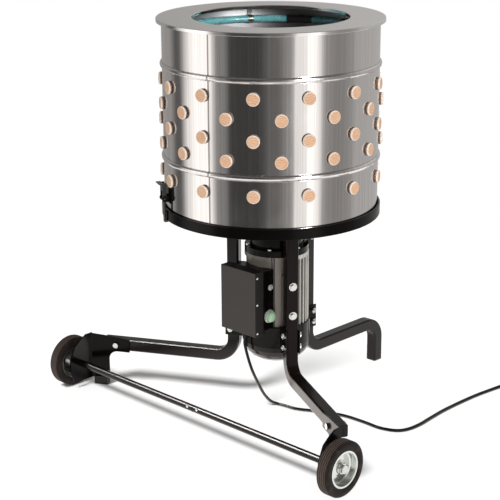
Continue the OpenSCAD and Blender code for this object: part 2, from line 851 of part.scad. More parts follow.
module motor_shaft() {
    neck = motor_shaft_d/2 - 3.5;
    color("silver") {
        at_motor(0, cowl_z + 22) cylinder(d = motor_shaft_d, h = motor_top + motor_bearing[1] - 1 - cowl_z - 22);
        at_motor(0, motor_top) cylinder(r = neck, h = first_gear_z - motor_top + 1);
        at_motor(0, first_gear_z) gear(motor_teeth, first_gear_w, 0);
    }
}

module motor_fan() {
    blades = 8;
    disc_r = motor_r - 6;
    from = cowl_z + 26;
    color("#3a3a3a") at_motor(0, from) difference() {
        union() {
            cylinder(d = motor_shaft_d + 12, h = 26);
            translate([0, 0, 20]) cylinder(r = disc_r, h = 2.5);
            for (i = [0:blades - 1]) rotate(i*360/blades) translate([motor_shaft_d/2 + 3, -1, 6])
                cube([disc_r - 16 - motor_shaft_d/2, 2, 15]);
        }
        translate([0, 0, -1]) cylinder(d = motor_shaft_d + 2*running, h = 30);
    }
}

module motor_end_shield() {
    r = cowl_d/2 - cowl_wall - slip;
    color("#2a2a2a") at_motor(0, motor_z - shield_t) difference() {
        union() {
            cylinder(r = r, h = shield_t);
            translate([0, 0, shield_t]) ring(motor_bore - slip, motor_bore - 6, 6);
        }
        translate([0, 0, -1]) cylinder(d = motor_shaft_d + 4, h = shield_t + 2);
        translate([0, 0, shield_t - 2 - motor_bearing[1]]) cylinder(d = motor_bearing[0], h = motor_bearing[1] + 3);
    }
}

module side_bolt_places() {
    for (turn = leg_turns, z = side_bolt_z)
        at_motor(turn, z) translate([side_bolt_r, tube_w/2 + ear_t + slip, 0]) rotate([-90, 0, 0]) children();
}

function corner(r, z, radius, from, to) = [for (i = [0:6]) let (a = from + (to - from)*i/6)
    [r + radius*cos(a), z + radius*sin(a)]];

// A rounded cup with air slots, and a pair of ears for each leg
module fan_cowl() {
    r = cowl_d/2;
    mid = r - cowl_round;
    slots = 10;
    profile = concat([[8, cowl_z]], corner(mid, cowl_z + cowl_round, cowl_round, -90, 0), [[r, motor_z]],
        [[r - cowl_wall, motor_z]],
        corner(mid, cowl_z + cowl_round, cowl_round - cowl_wall, 0, -90), [[8, cowl_z + cowl_wall]]);
    ear_from = sqrt((r - cowl_wall/2)^2 - (tube_w/2 + ear_t)^2);
    color("#1c1a19") difference() {
        union() {
            at_motor() rotate_extrude($fn = 72) polygon(profile);
            for (turn = leg_turns, side = [-1, 1]) at_motor(turn, ear_z)
                translate([ear_from, side*(tube_w/2 + slip + ear_t/2) - ear_t/2, 0])
                cube([leg_out + 4 - ear_from, ear_t, ear_h]);
        }
        for (i = [0:slots - 1]) at_motor(i*360/slots, cowl_z - 1)
            translate([14, -2, 0]) cube([mid - 18, 4, cowl_wall + 2]);
        side_bolt_places() bolt_hole(bolt_d, tube_w + 2*ear_t + 10);
    }
}

// Stand

module tube_profile() {
    difference() {
        rounded_square(tube_w, tube_round);
        rounded_square(tube_w - 2*tube_wall, max(tube_round - tube_wall, 0.5));
    }
}

// A quarter bend about a middle in the leg's plane, from an angle up a quarter turn
module tube_bend(s, z, from) {
    translate([s, 0, z]) rotate([90, 0, 0]) rotate(from) rotate_extrude(angle = 90)
        translate([bend_r, 0]) tube_profile();
}

// The upright, the lower bend and the run out to a given distance, in the leg's own plane
module leg_tube(run_end) {
    translate([leg_r, 0, run_z + bend_r]) linear_extrude(pan_z - run_z - bend_r) tube_profile();
    tube_bend(leg_r + bend_r, run_z + bend_r, 180);
    translate([leg_r + bend_r, 0, run_z]) rotate([0, 90, 0])
        linear_extrude(run_end - leg_r - bend_r) tube_profile();
}

top_plate_t = 4;
top_ear_h = 40;

// The plate and two ears at the top of a leg
module leg_top() {
    from = leg_in - 1;
    translate([from, -28, pan_z - top_plate_t]) cube([leg_out + 26 - from, 56, top_plate_t]);
    for (side = [-1, 1]) translate([leg_in - 2, side*(tube_w/2 + ear_t/2) - ear_t/2, pan_z - top_ear_h])
        cube([tube_w + 2, ear_t, top_ear_h]);
}

module leg_holes() {
    leg_top_bolt_places() bolt_hole(bolt_d, 20);
    face_bolt_places() bolt_hole(bolt_d, tube_w + 4);
    side_bolt_places() bolt_hole(bolt_d, tube_w + 2*ear_t + 10);
}

module left_leg() {
    color("#1b1918") difference() {
        at_motor(wheel_leg_turns[0]) union() {
            leg_tube(wheel_leg);
            leg_top();
        }
        leg_holes();
        bracket_bolt_place() bolt_hole(bolt_d, tube_w + 20);
    }
}

module right_leg() {
    mirror([1, 0, 0]) left_leg();
}

plug_t = 3;

module rear_leg() {
    color("#1b1918") difference() {
        at_motor(90) union() {
            leg_tube(foot_reach - bend_r);
            leg_top();
            tube_bend(foot_reach - bend_r, run_z - bend_r, 0);
            translate([foot_reach, 0, plug_t]) linear_extrude(run_z - bend_r - plug_t) tube_profile();
        }
        leg_holes();
    }
}

module leg_bolts() {
    color("silver") {
        face_bolt_places() flange_bolt(bolt_d, leg_out - motor_bore - 6);
        side_bolt_places() hex_bolt(bolt_d, tube_w + 2*ear_t + 2*slip);
        leg_top_bolt_places() hex_bolt(bolt_d, pan_t + top_plate_t);
    }
}

// A flanged plug that closes the end of a tube
module tube_plug() {
    linear_extrude(plug_t) rounded_square(tube_w, tube_round);
    translate([0, 0, plug_t - 0.5]) linear_extrude(18)
        rounded_square(tube_w - 2*tube_wall - 2*slip, max(tube_round - tube_wall, 0.5));
}

module leg_plugs() {
    color("#101010") {
        at_motor(90) translate([foot_reach, 0, 0]) tube_plug();
        for (turn = wheel_leg_turns) at_motor(turn, run_z)
            translate([wheel_leg + plug_t, 0, 0]) rotate([0, -90, 0]) tube_plug();
    }
}

// Wheels

// Where the left bracket's bolt goes through its leg, with the head in front
module bracket_bolt_place() {
    at_motor(wheel_leg_turns[0], run_z) translate([bracket_bolt_s, bracket_far, 0])
        rotate([-90, 0, 0]) children();
}

// A plate folded round an upright edge: an arm on the leg's front and a plate beside the wheel
module wheel_bracket() {
    heel = bend_s - 52;
    fold = bend_s - 3;
    notch = 24;
    nose = axle_y - 33;
    edge_y = motor_y - bend_s*sin(leg_turn) - bracket_far*cos(leg_turn);
    difference() {
        union() {
            at_motor(wheel_leg_turns[0]) translate([0, bracket_far, 0]) rotate([90, 0, 0])
                linear_extrude(bracket_t) difference() {
                    polygon([[arm_s, arm_z[0]], [heel - notch, arm_z[0]], [heel - notch, arm_z[0] - notch],
                        [heel, arm_z[0] - notch], [heel, bracket_foot], [fold - 8, bracket_foot],
                        [fold, bracket_foot + 2], [fold, bracket_top - 1], [arm_s + 40, arm_z[1] + 5],
                        [arm_s, arm_z[1]]]);
                    translate([heel - notch, arm_z[0] - notch]) circle(r = notch);
                }
            translate([-bracket_x, 0, 0]) rotate([90, 0, 90]) linear_extrude(bracket_t)
                polygon([[edge_y + 6, bracket_foot], [edge_y + 6, bracket_top], [axle_y + 20, bracket_top],
                    [axle_y + 4, bracket_top - 8], [axle_y - 18, bracket_top - 25], [nose, wheel_r + 14],
                    [nose - 1, wheel_r - 14], [axle_y - 24, bracket_foot]]);
        }
        translate([-bracket_x - 1, axle_y, wheel_r]) rotate([0, 90, 0])
            cylinder(d = axle_d + 2*slip, h = bracket_t + 2);
        bracket_bolt_place() bolt_hole(bolt_d, tube_w + 20);
    }
}

module wheel_brackets() {
    color("#171514") both_sides() wheel_bracket();
}

// Rubber blocks pushed onto the brackets' lower edges
module foot_blocks() {
    length = 36;
    grip = 6;
    color("#0c0c0c") both_sides() at_motor(wheel_leg_turns[0], foot_lift) difference() {
        translate([bend_s - 48, bracket_far - bracket_t - 7, 0])
            cube([length, bracket_t + 14, bracket_foot + grip - foot_lift]);
        translate([bend_s - 49, bracket_far - bracket_t - slip, bracket_foot - foot_lift])
            cube([length + 2, bracket_t + 2*slip, grip + 1]);
    }
}

hub_out = 6;
hub_in = tyre_w/2;
washer_t = 2;
axle_end = wheel_x + hub_out + hang + washer_t + 6;

module along_axle(x) {
    translate([x, axle_y, wheel_r]) rotate([0, 90, 0]) children();
}

module axle_rod() {
    color("silver") along_axle(-axle_end) cylinder(d = axle_d, h = 2*axle_end);
}

// Two long tubes between the brackets, and a short spacer to each wheel's hub
module axle_tubes() {
    seam = 0.5;
    inner = bracket_x - bracket_t;
    spacer = wheel_x - hub_in - hang - bracket_x;
    color("#141414") both_sides() {
        along_axle(seam) difference() {
            ring(axle_tube_d/2, axle_d/2 + slip, inner - seam);
            translate([0, 0, splice_x - seam]) rotate([0, -90, 0]) rotate([splice_turn, 0, 0])
                cylinder(d = screw_d + 2*slip, h = axle_tube_d);
        }
        along_axle(bracket_x) ring(axle_tube_d/2, axle_d/2 + slip, spacer);
    }
}

splice_x = 16;
splice_turn = 60;

module axle_fasteners() {
    color("silver") both_sides() {
        along_axle(wheel_x + hub_out + hang) ring(axle_d/2 + 6, axle_d/2 + slip, washer_t);
        along_axle(wheel_x + hub_out + hang + washer_t) difference() {
            cylinder(d = axle_d + 9, h = 6, $fn = 6);
            translate([0, 0, -1]) cylinder(d = axle_d + 2*slip, h = 8);
        }
        along_axle(splice_x) rotate([0, -90, 0]) rotate([splice_turn, 0, 0])
            translate([0, 0, axle_d/2 + slip]) {
                cylinder(d = screw_d, h = (axle_tube_d - axle_d)/2 + 1);
                translate([0, 0, (axle_tube_d - axle_d)/2 - slip]) cylinder(d1 = 7, d2 = 5, h = 2.5);
            }
        mirror([1, 0, 0]) bracket_bolt_place() hex_bolt(bolt_d, tube_w + bracket_t);
    }
}

// Tread points across the tyre, with grooves
function tread(half) = [for (i = [0:3]) let (x = half*(i - 1.5)/2) each [
    [wheel_r, x - 1.6], [wheel_r - 2, x - 0.9], [wheel_r - 2, x + 0.9], [wheel_r, x + 1.6]]];

function tyre_side(side) = let (half = side*tyre_w/2, seat = seat_d/2, depth = wheel_r - seat_d/2) [
    [seat, half - side*2.5], [seat + 2, half - side*2.5], [seat + depth*0.25, half - side],
    [seat + depth*0.42, half], [seat + depth*0.66, half], [seat + depth*0.88, half - side*1.8],
    [wheel_r, half - side*4.3]];

module tyre() {
    rotate_extrude($fn = 72) polygon(concat(tyre_side(-1), tread(tyre_w/2 - 4.3), reversed(tyre_side(1))));
}

// A dished steel rim with its hub, open side up
module rim() {
    seat = seat_d/2 - slip;
    lip = [tyre_w/2 - 2.3, tyre_w/2 - 1.1];
    in = seat - 2;
    hub_r = axle_d/2 + 7;
    bore = axle_d/2 + running;
    profile = [[bore, hub_out], [hub_r - 2, hub_out], [hub_r, hub_out - 2], [hub_r, 0.5],
        [hub_r + 6, -1.5], [in - 4, -3.5], [in, -1.5], [in, lip[1]], [seat + 2.6, lip[1]],
        [seat + 2.6, lip[0]], [seat, lip[0]], [seat, -lip[0]], [seat + 2.6, -lip[0]], [seat + 2.6, -lip[1]],
        [in, -lip[1]], [in, -5], [in - 4, -6.5], [hub_r, -3.5], [hub_r, -hub_in], [bore, -hub_in]];
    rotate_extrude($fn = 72) polygon(profile);
}

module right_tyre() {
    color("#2b2523") along_axle(wheel_x) tyre();
}

module left_tyre() {
    mirror([1, 0, 0]) right_tyre();
}

module right_rim() {
    color("gainsboro") along_axle(wheel_x) rim();
}

module left_rim() {
    mirror([1, 0, 0]) right_rim();
}

// Control box

// A box given by its half width and its ends in Y and Z, from the motor's middle
module block(half, y, z) {
    translate([-half, y[0], z[0]]) cube([2*half, y[1] - y[0], z[1] - z[0]]);
}

module box_screw_places() {
    for (side = [0, 1], z = [lid_z + 8, lid_z + lid_h/2, lid_top - 13]) at_motor(0, z)
        mirror([side, 0, 0]) translate([lid_w/2, -(lid_face - 7), 0]) rotate([0, 90, 0]) children();
}

module switch_box() {
    collar_z = [lid_z + box_wall + slip, lid_top - box_wall - slip];
    rear_z = [lid_z + box_step, lid_top - box_step];
    inset = [box_wall, -box_wall];
    color("#151515") at_motor() difference() {
        union() {
            block(collar_w/2, [-box_front, -collar_back], collar_z);
            block(box_w/2, [-collar_back - 2, -box_back], rear_z);
        }
        block(collar_w/2 - box_wall, [-box_front - 1, -collar_back - box_wall], collar_z + inset);
        block(box_w/2 - box_wall, [-box_front - 1, -box_cavity_back], rear_z + inset);
        cylinder(r = motor_r + slip, h = 2*lid_top);
        translate(button_pos) rotate([0, -90, 0]) cylinder(d = 8 + 2*hang, h = box_wall + 7 + button_travel);
        translate(side_screw_pos) rotate([0, 90, 0]) bolt_hole(small_bolt_d, 12);
        translate([gland_pos.x, gland_pos.y, rear_z[0] - 1]) cylinder(d = 12 + 2*slip, h = box_wall + 2);
        translate([0, -motor_y, 0]) box_screw_places() bolt_hole(screw_d, 10);
    }
}

module box_lid() {
    color("#48433f") difference() {
        at_motor() difference() {
            block(lid_w/2, [-lid_face, -(lid_face - lid_depth)], [lid_z, lid_top]);
            block(lid_w/2 - box_wall, [-(lid_face - box_wall), -(lid_face - lid_depth - 1)],
                [lid_z + box_wall, lid_top - box_wall]);
        }
        box_screw_places() bolt_hole(screw_d, 10);
    }
}

module box_screws() {
    color("silver") {
        box_screw_places() {
            translate([0, 0, -box_wall*2 - 2]) cylinder(d = screw_d, h = box_wall*2 + 3);
            cylinder(d1 = 6, d2 = 4, h = 1.8);
        }
        at_motor() translate(side_screw_pos) rotate([0, 90, 0]) {
            translate([0, 0, -11]) cylinder(d = small_bolt_d, h = 12);
            cylinder(d = 15, h = 2);
            cylinder(d1 = 13, d2 = 9, h = 5);
        }
    }
}

module start_button() {
    dome = button_d/2;
    back = bezel_len - 0.5;
    profile = concat([[0, -box_wall - 6], [4, -box_wall - 6], [4, back], [dome, back], [dome, back + 3]],
        [for (a = [15:15:75]) [dome*cos(a), back + 3 + 9*sin(a)]], [[0, back + 12]]);
    color("palegreen") at_motor() translate(button_pos) rotate([0, 90, 0]) rotate_extrude() polygon(profile);
}

module button_bezel() {
    color("gainsboro") at_motor() translate(button_pos) rotate([0, 90, 0]) difference() {
        union() {
            cylinder(r = button_d/2 + 3.5, h = 2);
            cylinder(r1 = button_d/2 + 3, r2 = button_d/2 + 2, h = bezel_len);
        }
        translate([0, 0, -1]) cylinder(r = button_d/2 + hang, h = bezel_len + 2);
    }
}

module cord_gland() {
    top = lid_z + box_step;
    gland_len = top - cord_route[0].z;
    color("#181818") at_motor() translate([gland_pos.x, gland_pos.y, top]) {
        translate([0, 0, -0.5]) cylinder(d = 12, h = box_wall + 5);
        translate([0, 0, -5]) cylinder(d = 17, h = 5, $fn = 6);
        translate([0, 0, -gland_len]) cylinder(d1 = cord_d + 3, d2 = 15, h = gland_len - 4);
    }
}

// Mains lead

function unit(v) = v/norm(v);

function tangents(p) = [for (i = [0:len(p) - 1]) unit(p[min(i + 1, len(p) - 1)] - p[max(i - 1, 0)])];

// A side direction at each point, carried along without twist
function carried(t, first) = [for (i = 0, n = unit(first - (first*t[0])*t[0]); i < len(t);
    i = i + 1, n = i < len(t) ? unit(n - (n*t[i])*t[i]) : n) n];

function between(a, b, c, d, t) = 0.5*(2*b + (c - a)*t + (2*a - 5*b + 4*c - d)*t^2 + (3*b - a - 3*c + d)*t^3);

function smooth(p, steps) = let (last = len(p) - 1) concat([for (i = [0:last - 1], j = [0:steps - 1])
    between(p[max(i - 1, 0)], p[i], p[i + 1], p[min(i + 2, last)], j/steps)], [p[last]]);

module tube_along(path, d, sides) {
    t = tangents(path);
    n = carried(t, [1, 0.2, 0]);
    last = (len(path) - 1)*sides;
    points = [for (i = [0:len(path) - 1], k = [0:sides - 1]) let (a = 360*k/sides)
        path[i] + d/2*(cos(a)*n[i] + sin(a)*cross(t[i], n[i]))];
    walls = [for (i = [0:len(path) - 2], k = [0:sides - 1]) let (
            a = i*sides + k, b = i*sides + (k + 1) % sides, c = a + sides, e = b + sides)
        each [[a, e, b], [a, c, e]]];
    caps = [for (k = [1:sides - 2]) each [[0, k, k + 1], [last, last + k + 1, last + k]]];
    polyhedron(points, concat(walls, caps));
}

// The coil lies flat in two layers: it spirals in, climbs where it turns back, and spirals out
coil_mid = coil_turns*180;
coil_tail = coil_r;
coil_start = cord_route[len(cord_route) - 1];
coil_centre = coil_start + [coil_r, cord_d, 0];

function climb(t) = let (c = min(max(t, 0), 1)) c*c*(3 - 2*c);

function coil_point(turn) = let (
        r = coil_r - coil_step*(coil_mid - abs(turn - coil_mid))/360,
        rise = coil_step*climb((turn - coil_mid + 90)/180))
    coil_centre + [r*cos(180 - turn), r*sin(180 - turn), rise];

coil_path = concat([coil_start], [for (a = [0:15:coil_turns*360]) coil_point(a)],
    [coil_point(coil_turns*360) + [0, coil_tail, 0]]);
coil_end = coil_path[len(coil_path) - 1];

// Least gap between stretches of the coil that are more than half a turn apart
coil_self_gap = min([for (i = [0:len(coil_path) - 14], j = [i + 13:len(coil_path) - 1])
    norm(coil_path[i] - coil_path[j])]) - cord_d;
echo(str("Least gap between the coil's turns: ", coil_self_gap, " mm"));

module cord() {
    color("#101010") tube_along(smooth(cord_route, 3), cord_d, 10);
}

module cord_coil() {
    color("#101010") tube_along(coil_path, cord_d, 6);
}

// A moulded plug with two blades and an earth pin, and the tie round the coil
module cord_plug() {
    grip_len = 24;
    body = [30, 36, 2*(coil_end.z - 0.2)];
    loop_in = [coil_step + cord_d + 2*hang, 2*cord_d + coil_gap + 2*hang];
    color("#101010") {
        translate(coil_end) rotate([-90, 0, 0]) {
            cylinder(d1 = cord_d + 3, d2 = 20, h = grip_len);
            translate([0, 0, grip_len - 1]) linear_extrude(body.y) {
                square([body.x - 8, body.z], center = true);
                square([body.x, body.z - 8], center = true);
            }
            for (x = [-6.35, 6.35]) translate([x - 0.75, -6, grip_len + body.y - 2]) cube([1.5, 6.3, 18]);
            translate([0, 6, grip_len + body.y - 2]) cylinder(d = 4.8, h = 20);
        }
        translate(coil_centre + [coil_r - coil_step*coil_turns/2 - cord_d/2 - hang, 3,
            -cord_d/2 - hang]) rotate([90, 0, 0]) linear_extrude(6) difference() {
                translate([-tie_t, -tie_t]) square(loop_in + 2*[tie_t, tie_t]);
                square(loop_in);
            }
    }
}

tub();
rim_ring();
wall_fingers(0);  // wall_fingers_row_1
wall_fingers(1);  // wall_fingers_row_2
wall_fingers(2);  // wall_fingers_row_3
wall_fingers(3);  // wall_fingers_row_4
wall_fingers(4);  // wall_fingers_row_5
irrigation_hose();
hose_tee();
hose_clips();
base_ring();
pan_floor();
pan_bolts();
latch_bases();
latch_lever(0);  // front_latch_lever
latch_hook(0);  // front_latch_hook
latch_lever(1);  // rear_latch_lever
latch_hook(1);  // rear_latch_hook
feather_plate();
plate_fingers();
plate_hub();
plate_bolts();
shaft_seal();
output_shaft();
output_gear();
intermediate_gears();
bearings();
gear_housing();
gear_cover();
housing_bolts();
motor_frame();
motor_stator();
motor_rotor();
motor_shaft();
motor_fan();
motor_end_shield();
fan_cowl();
left_leg();
right_leg();
rear_leg();
leg_bolts();
leg_plugs();
wheel_brackets();
foot_blocks();
axle_rod();
axle_tubes();
axle_fasteners();
left_tyre();
left_rim();
right_tyre();
right_rim();
switch_box();
box_lid();
box_screws();
start_button();
button_bezel();
cord_gland();
cord();
cord_coil();
cord_plug();
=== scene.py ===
# %% [markdown]
# # A poultry plucker, dressed for its picture
#
# The machine is a stainless drum full of rubber fingers. It stands on three bent legs, with a geared
# motor under it, two wheels on a long axle, a switch box and a mains lead.
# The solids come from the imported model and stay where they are. This lesson gives them their
# finishes, adds the soft and small pieces that a solid model leaves plain, and lights the whole.

import math

import bmesh
import bpy
from mathutils import Matrix, Vector


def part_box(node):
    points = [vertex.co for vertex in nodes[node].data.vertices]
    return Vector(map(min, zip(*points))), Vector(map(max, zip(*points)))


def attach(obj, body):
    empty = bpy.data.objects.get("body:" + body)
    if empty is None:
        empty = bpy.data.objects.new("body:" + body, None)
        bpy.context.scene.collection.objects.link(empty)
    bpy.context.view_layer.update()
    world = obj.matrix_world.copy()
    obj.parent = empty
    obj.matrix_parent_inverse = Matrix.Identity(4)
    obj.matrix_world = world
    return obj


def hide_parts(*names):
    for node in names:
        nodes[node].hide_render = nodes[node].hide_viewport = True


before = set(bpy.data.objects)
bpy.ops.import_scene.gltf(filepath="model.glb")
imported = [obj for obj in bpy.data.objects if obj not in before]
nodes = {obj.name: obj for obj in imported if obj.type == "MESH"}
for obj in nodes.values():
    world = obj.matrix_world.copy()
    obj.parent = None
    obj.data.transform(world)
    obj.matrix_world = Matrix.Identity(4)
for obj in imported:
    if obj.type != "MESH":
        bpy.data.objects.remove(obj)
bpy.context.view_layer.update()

# %% [markdown]
# ## The camera
#
# A long lens keeps the drum's sides nearly upright. The camera could be set by eye, but the circles
# of the drum and the floor points of the wheels fix it better. Its place and its turn were fitted to
# them, so they are written as numbers.

# %% Camera
lens_mm = 102.19
sensor_mm = 36
view_range = 50
camera_place = (2.2654, -2.4332, 1.4271)
camera_turn = [math.radians(angle) for angle in (72.650, 0.282, 44.294)]
bpy.ops.object.select_all(action="DESELECT")
bpy.ops.object.camera_add(location=camera_place, rotation=camera_turn)
camera = bpy.context.object
camera.name = "photo_camera"
camera.data.sensor_fit = "HORIZONTAL"
camera.data.sensor_width = sensor_mm
camera.data.lens = lens_mm
camera.data.clip_end = view_range
bpy.context.scene.camera = camera
bpy.context.scene.view_settings.view_transform = "Standard"
print("camera looks with a lens of", lens_mm, "mm")

# %% [markdown]
# ## The mains lead
#
# The lead drops out of the switch box's gland, runs along the floor behind the right wheel and ends
# in a tied coil. It could be a mesh tube, bent by hand, but a curve keeps its section round in every
# bend. Its points are the route of the solid lead in millimetres, smoothed in the same way, so it
# lies where the solid does. A wound coil is regular, so its turns are worked out by a formula.

# %% Lead: route
lead_d = 0.0075
route_steps = 6
lead_route = [
    (-20, -118, 184), (-20, -118, 177), (-20, -118, 170), (-15, -116, 146), (-7, -113, 118),
    (0, -107, 92), (9, -88, 46), (13, -76, 26), (18, -63, 11), (29, -51, 4), (48, -47, 4),
    (82, -42, 4), (120, -23, 4), (160, -4, 4), (200, 9, 4), (255, 13, 4), (303, 13, 4),
    (341, 28, 4), (357, 56, 4), (360, 98, 4), (356, 140, 4), (351, 214, 4), (353, 320, 4),
    (361, 396, 4), (366, 424, 5), (367, 438, 5), (367, 449, 5), (367, 460, 5),
]
lead_route = [Vector(point) / 1000 for point in lead_route]


def between(a, b, c, d, t):
    """A point of the smooth curve from b to c, with a and d as their neighbours."""
    curve = 2 * b + (c - a) * t + (2 * a - 5 * b + 4 * c - d) * t ** 2
    return 0.5 * (curve + (3 * b - a - 3 * c + d) * t ** 3)


def smooth_route(points, steps):
    """The route with extra points on each stretch."""
    last = len(points) - 1
    path = []
    for i in range(last):
        for j in range(steps):
            near = (points[max(i - 1, 0)], points[i], points[i + 1], points[min(i + 2, last)])
            path.append(between(*near, j / steps))
    return path + [points[last]]


lead_path = smooth_route(lead_route, route_steps)
print("route of", len(lead_route), "chosen points, smoothed to", len(lead_path))

# %% Lead: coil
coil_r = 0.045
coil_gap = 0.0006
coil_step = lead_d + coil_gap
coil_turns = 3
coil_stride = 10
coil_centre = lead_route[-1] + Vector((coil_r, lead_d, 0))


def coil_point(turn):
    """The coil spirals in on the floor, climbs one layer and spirals out on top."""
    middle = coil_turns * 180
    radius = coil_r - coil_step * (middle - abs(turn - middle)) / 360
    climb = min(max((turn - middle + 90) / 180, 0), 1)
    rise = coil_step * climb * climb * (3 - 2 * climb)
    angle = math.radians(180 - turn)
    return coil_centre + Vector((radius * math.cos(angle), radius * math.sin(angle), rise))


lead_path += [coil_point(turn) for turn in range(0, coil_turns * 360 + 1, coil_stride)]
coil_end = lead_path[-1] + Vector((0, coil_r, 0))
lead_path.append(coil_end)
lead_length = sum((b - a).length for a, b in zip(lead_path, lead_path[1:]))
print("lead of", round(lead_length, 3), "m, with", coil_turns, "turns in its coil")

# %% Lead: curve


def tube_curve(name, points, diameter, roundness=4):
    """A round tube along points, as one open spline."""
    curve = bpy.data.curves.new(name, "CURVE")
    curve.dimensions = "3D"
    curve.bevel_depth = 1
    curve.bevel_resolution = roundness
    curve.use_fill_caps = True
    spline = curve.splines.new("POLY")
    spline.points.add(len(points) - 1)
    for point, place in zip(spline.points, points):
        point.co = (*place, 1)
        point.radius = diameter / 2
    spline.use_smooth = True
    tube = bpy.data.objects.new(name, curve)
    bpy.context.scene.collection.objects.link(tube)
    return tube


lead = tube_curve("mains_lead", lead_path, lead_d)
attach(lead, "frame")
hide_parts("cord", "cord_coil")
print("lead drawn through", len(lead_path), "points")

# %% [markdown]
# ## Hand tools for the new pieces
#
# Every new piece starts as a primitive and is shaped with operators, as it would be by hand. An
# operator acts on whatever is selected, so these helpers select one object, or some of its faces,
# before each step. A mesh could be written as lists of points and faces instead, but the operators
# show how a shape comes about. A lathe profile is drawn by pulling one vertex from point to point.

# %% Selecting


def only(piece):
    """Selects one object alone and makes it the active one."""
    bpy.ops.object.select_all(action="DESELECT")
    piece.select_set(True)
    bpy.context.view_layer.objects.active = piece
    return piece


def edit(piece):
    """Opens a piece in edit mode with everything selected."""
    only(piece)
    bpy.ops.object.mode_set(mode="EDIT")
    bpy.ops.mesh.select_mode(type="FACE")
    bpy.ops.mesh.select_all(action="SELECT")


def leave():
    """Goes back to object mode."""
    bpy.ops.object.mode_set(mode="OBJECT")


def pick_faces(piece, test):
    """In edit mode, selects the faces whose middle and normal pass the test."""
    bpy.ops.mesh.select_mode(type="FACE")
    bpy.ops.mesh.select_all(action="DESELECT")
    cage = bmesh.from_edit_mesh(piece.data)
    for face in cage.faces:
        face.select_set(bool(test(face.calc_center_median(), face.normal)))
    cage.select_flush_mode()
    bmesh.update_edit_mesh(piece.data)


def pick_edges(piece, test):
    """In edit mode, selects the edges whose two ends pass the test."""
    bpy.ops.mesh.select_mode(type="EDGE")
    bpy.ops.mesh.select_all(action="DESELECT")
    cage = bmesh.from_edit_mesh(piece.data)
    for edge in cage.edges:
        edge.select_set(bool(test(edge.verts[0].co, edge.verts[1].co)))
    cage.select_flush_mode()
    bmesh.update_edit_mesh(piece.data)


print("selecting helpers are ready")

# %% Shaping


def named(name):
    """Names the object that an operator has just added, and puts its place into its mesh."""
    piece = bpy.context.object
    piece.name = name
    piece.data.name = name
    only(piece)
    bpy.ops.object.transform_apply(location=True, rotation=True, scale=True)
    return piece


def modify(piece, kind, **settings):
    """Adds a modifier with these settings and applies it."""
    only(piece)
    bpy.ops.object.modifier_add(type=kind)
    modifier = piece.modifiers[-1]
    for setting, value in settings.items():
        setattr(modifier, setting, value)
    bpy.ops.object.modifier_apply(modifier=modifier.name)
    return piece


def place(piece, move, turn):
    """Turns a piece about the origin, then moves it, and keeps the result in its mesh."""
    only(piece)
    piece.matrix_world = Matrix.Translation(Vector(move)) @ turn
    bpy.ops.object.transform_apply(location=True, rotation=True, scale=True)
    return piece


def join(pieces, name):
    """Makes one object of several."""
    bpy.ops.object.select_all(action="DESELECT")
    for piece in pieces:
        piece.select_set(True)
    bpy.context.view_layer.objects.active = pieces[0]
    bpy.ops.object.join()
    whole = bpy.context.object
    whole.name = name
    whole.data.name = name
    return whole


def soften(piece, degrees=35):
    """Smooth shading, except over edges sharper than the angle."""
    only(piece)
    bpy.ops.object.shade_smooth_by_angle(angle=math.radians(degrees))
    return piece


print("shaping helpers are ready")

# %% Turning and fitting


def lathe(name, profile, steps, weld=1e-6):
    """Spins a profile of (radius, height) points about Z: one vertex is pulled along the profile."""
    bpy.ops.object.select_all(action="DESELECT")
    bpy.ops.mesh.primitive_plane_add(size=0.001)
    piece = named(name)
    edit(piece)
    bpy.ops.mesh.select_mode(type="VERT")
    bpy.ops.mesh.merge(type="CENTER")
    bpy.ops.transform.translate(value=(profile[0][0], 0, profile[0][1]))
    for near, far in zip(profile, profile[1:]):
        step = (far[0] - near[0], 0, far[1] - near[1])
        bpy.ops.mesh.extrude_vertices_move(TRANSFORM_OT_translate={"value": step})
    bpy.ops.mesh.select_all(action="SELECT")
    bpy.ops.mesh.spin(steps=steps, angle=2 * math.pi, center=(0, 0, 0), axis=(0, 0, 1))
    bpy.ops.mesh.select_all(action="SELECT")
    bpy.ops.mesh.remove_doubles(threshold=weld)
    bpy.ops.mesh.normals_make_consistent(inside=False)
    leave()
    return piece


def fitted(piece, body):
    """A finished piece moves with a body."""
    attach(piece, body)
    return piece


print("lathe is ready")

# %% [markdown]
# ## The plug and the tie
#
# The lead ends in a moulded plug. Its sleeve has a row of rings that let it bend, and it is round, so
# it is turned from a profile, as on a lathe. The body could be turned too, but a real one is flat for
# the fingers: it starts as a block, with rounded edges and inset faces. The two blades and the round
# pin are metal. A strap holds the coil together. It starts as an open box and is given a thickness.

# %% Plug: sleeve
sleeve_r = 0.0098
sleeve_length = 0.026
sleeve_sides = 24
ring_count = 5
ring_from = 0.003
ring_pitch = 0.0042
ring_r = 0.0056
ring_growth = 0.0009
ring_crown = 0.0004
sleeve_profile = [(0.0, 0.0), (0.0049, 0.0), (0.0054, 0.001)]
for painted_highlight_ring in range(ring_count):
    start = ring_from + painted_highlight_ring * ring_pitch
    outer = ring_r + painted_highlight_ring * ring_growth
    sleeve_profile += [(outer, start), (outer + ring_crown, start + 0.0006)]
    sleeve_profile += [(outer + ring_crown, start + 0.0024), (outer - 0.0011, start + 0.003)]
    sleeve_profile += [(outer - 0.001, start + 0.0038)]
sleeve_profile += [(sleeve_r, 0.0242), (sleeve_r, sleeve_length), (0.0, sleeve_length)]
sleeve = lathe("plug_sleeve", sleeve_profile, sleeve_sides)
along_y = Matrix.Rotation(math.radians(-90), 4, "X")
place(sleeve, coil_end, along_y)
print("sleeve with", ring_count, "rings")

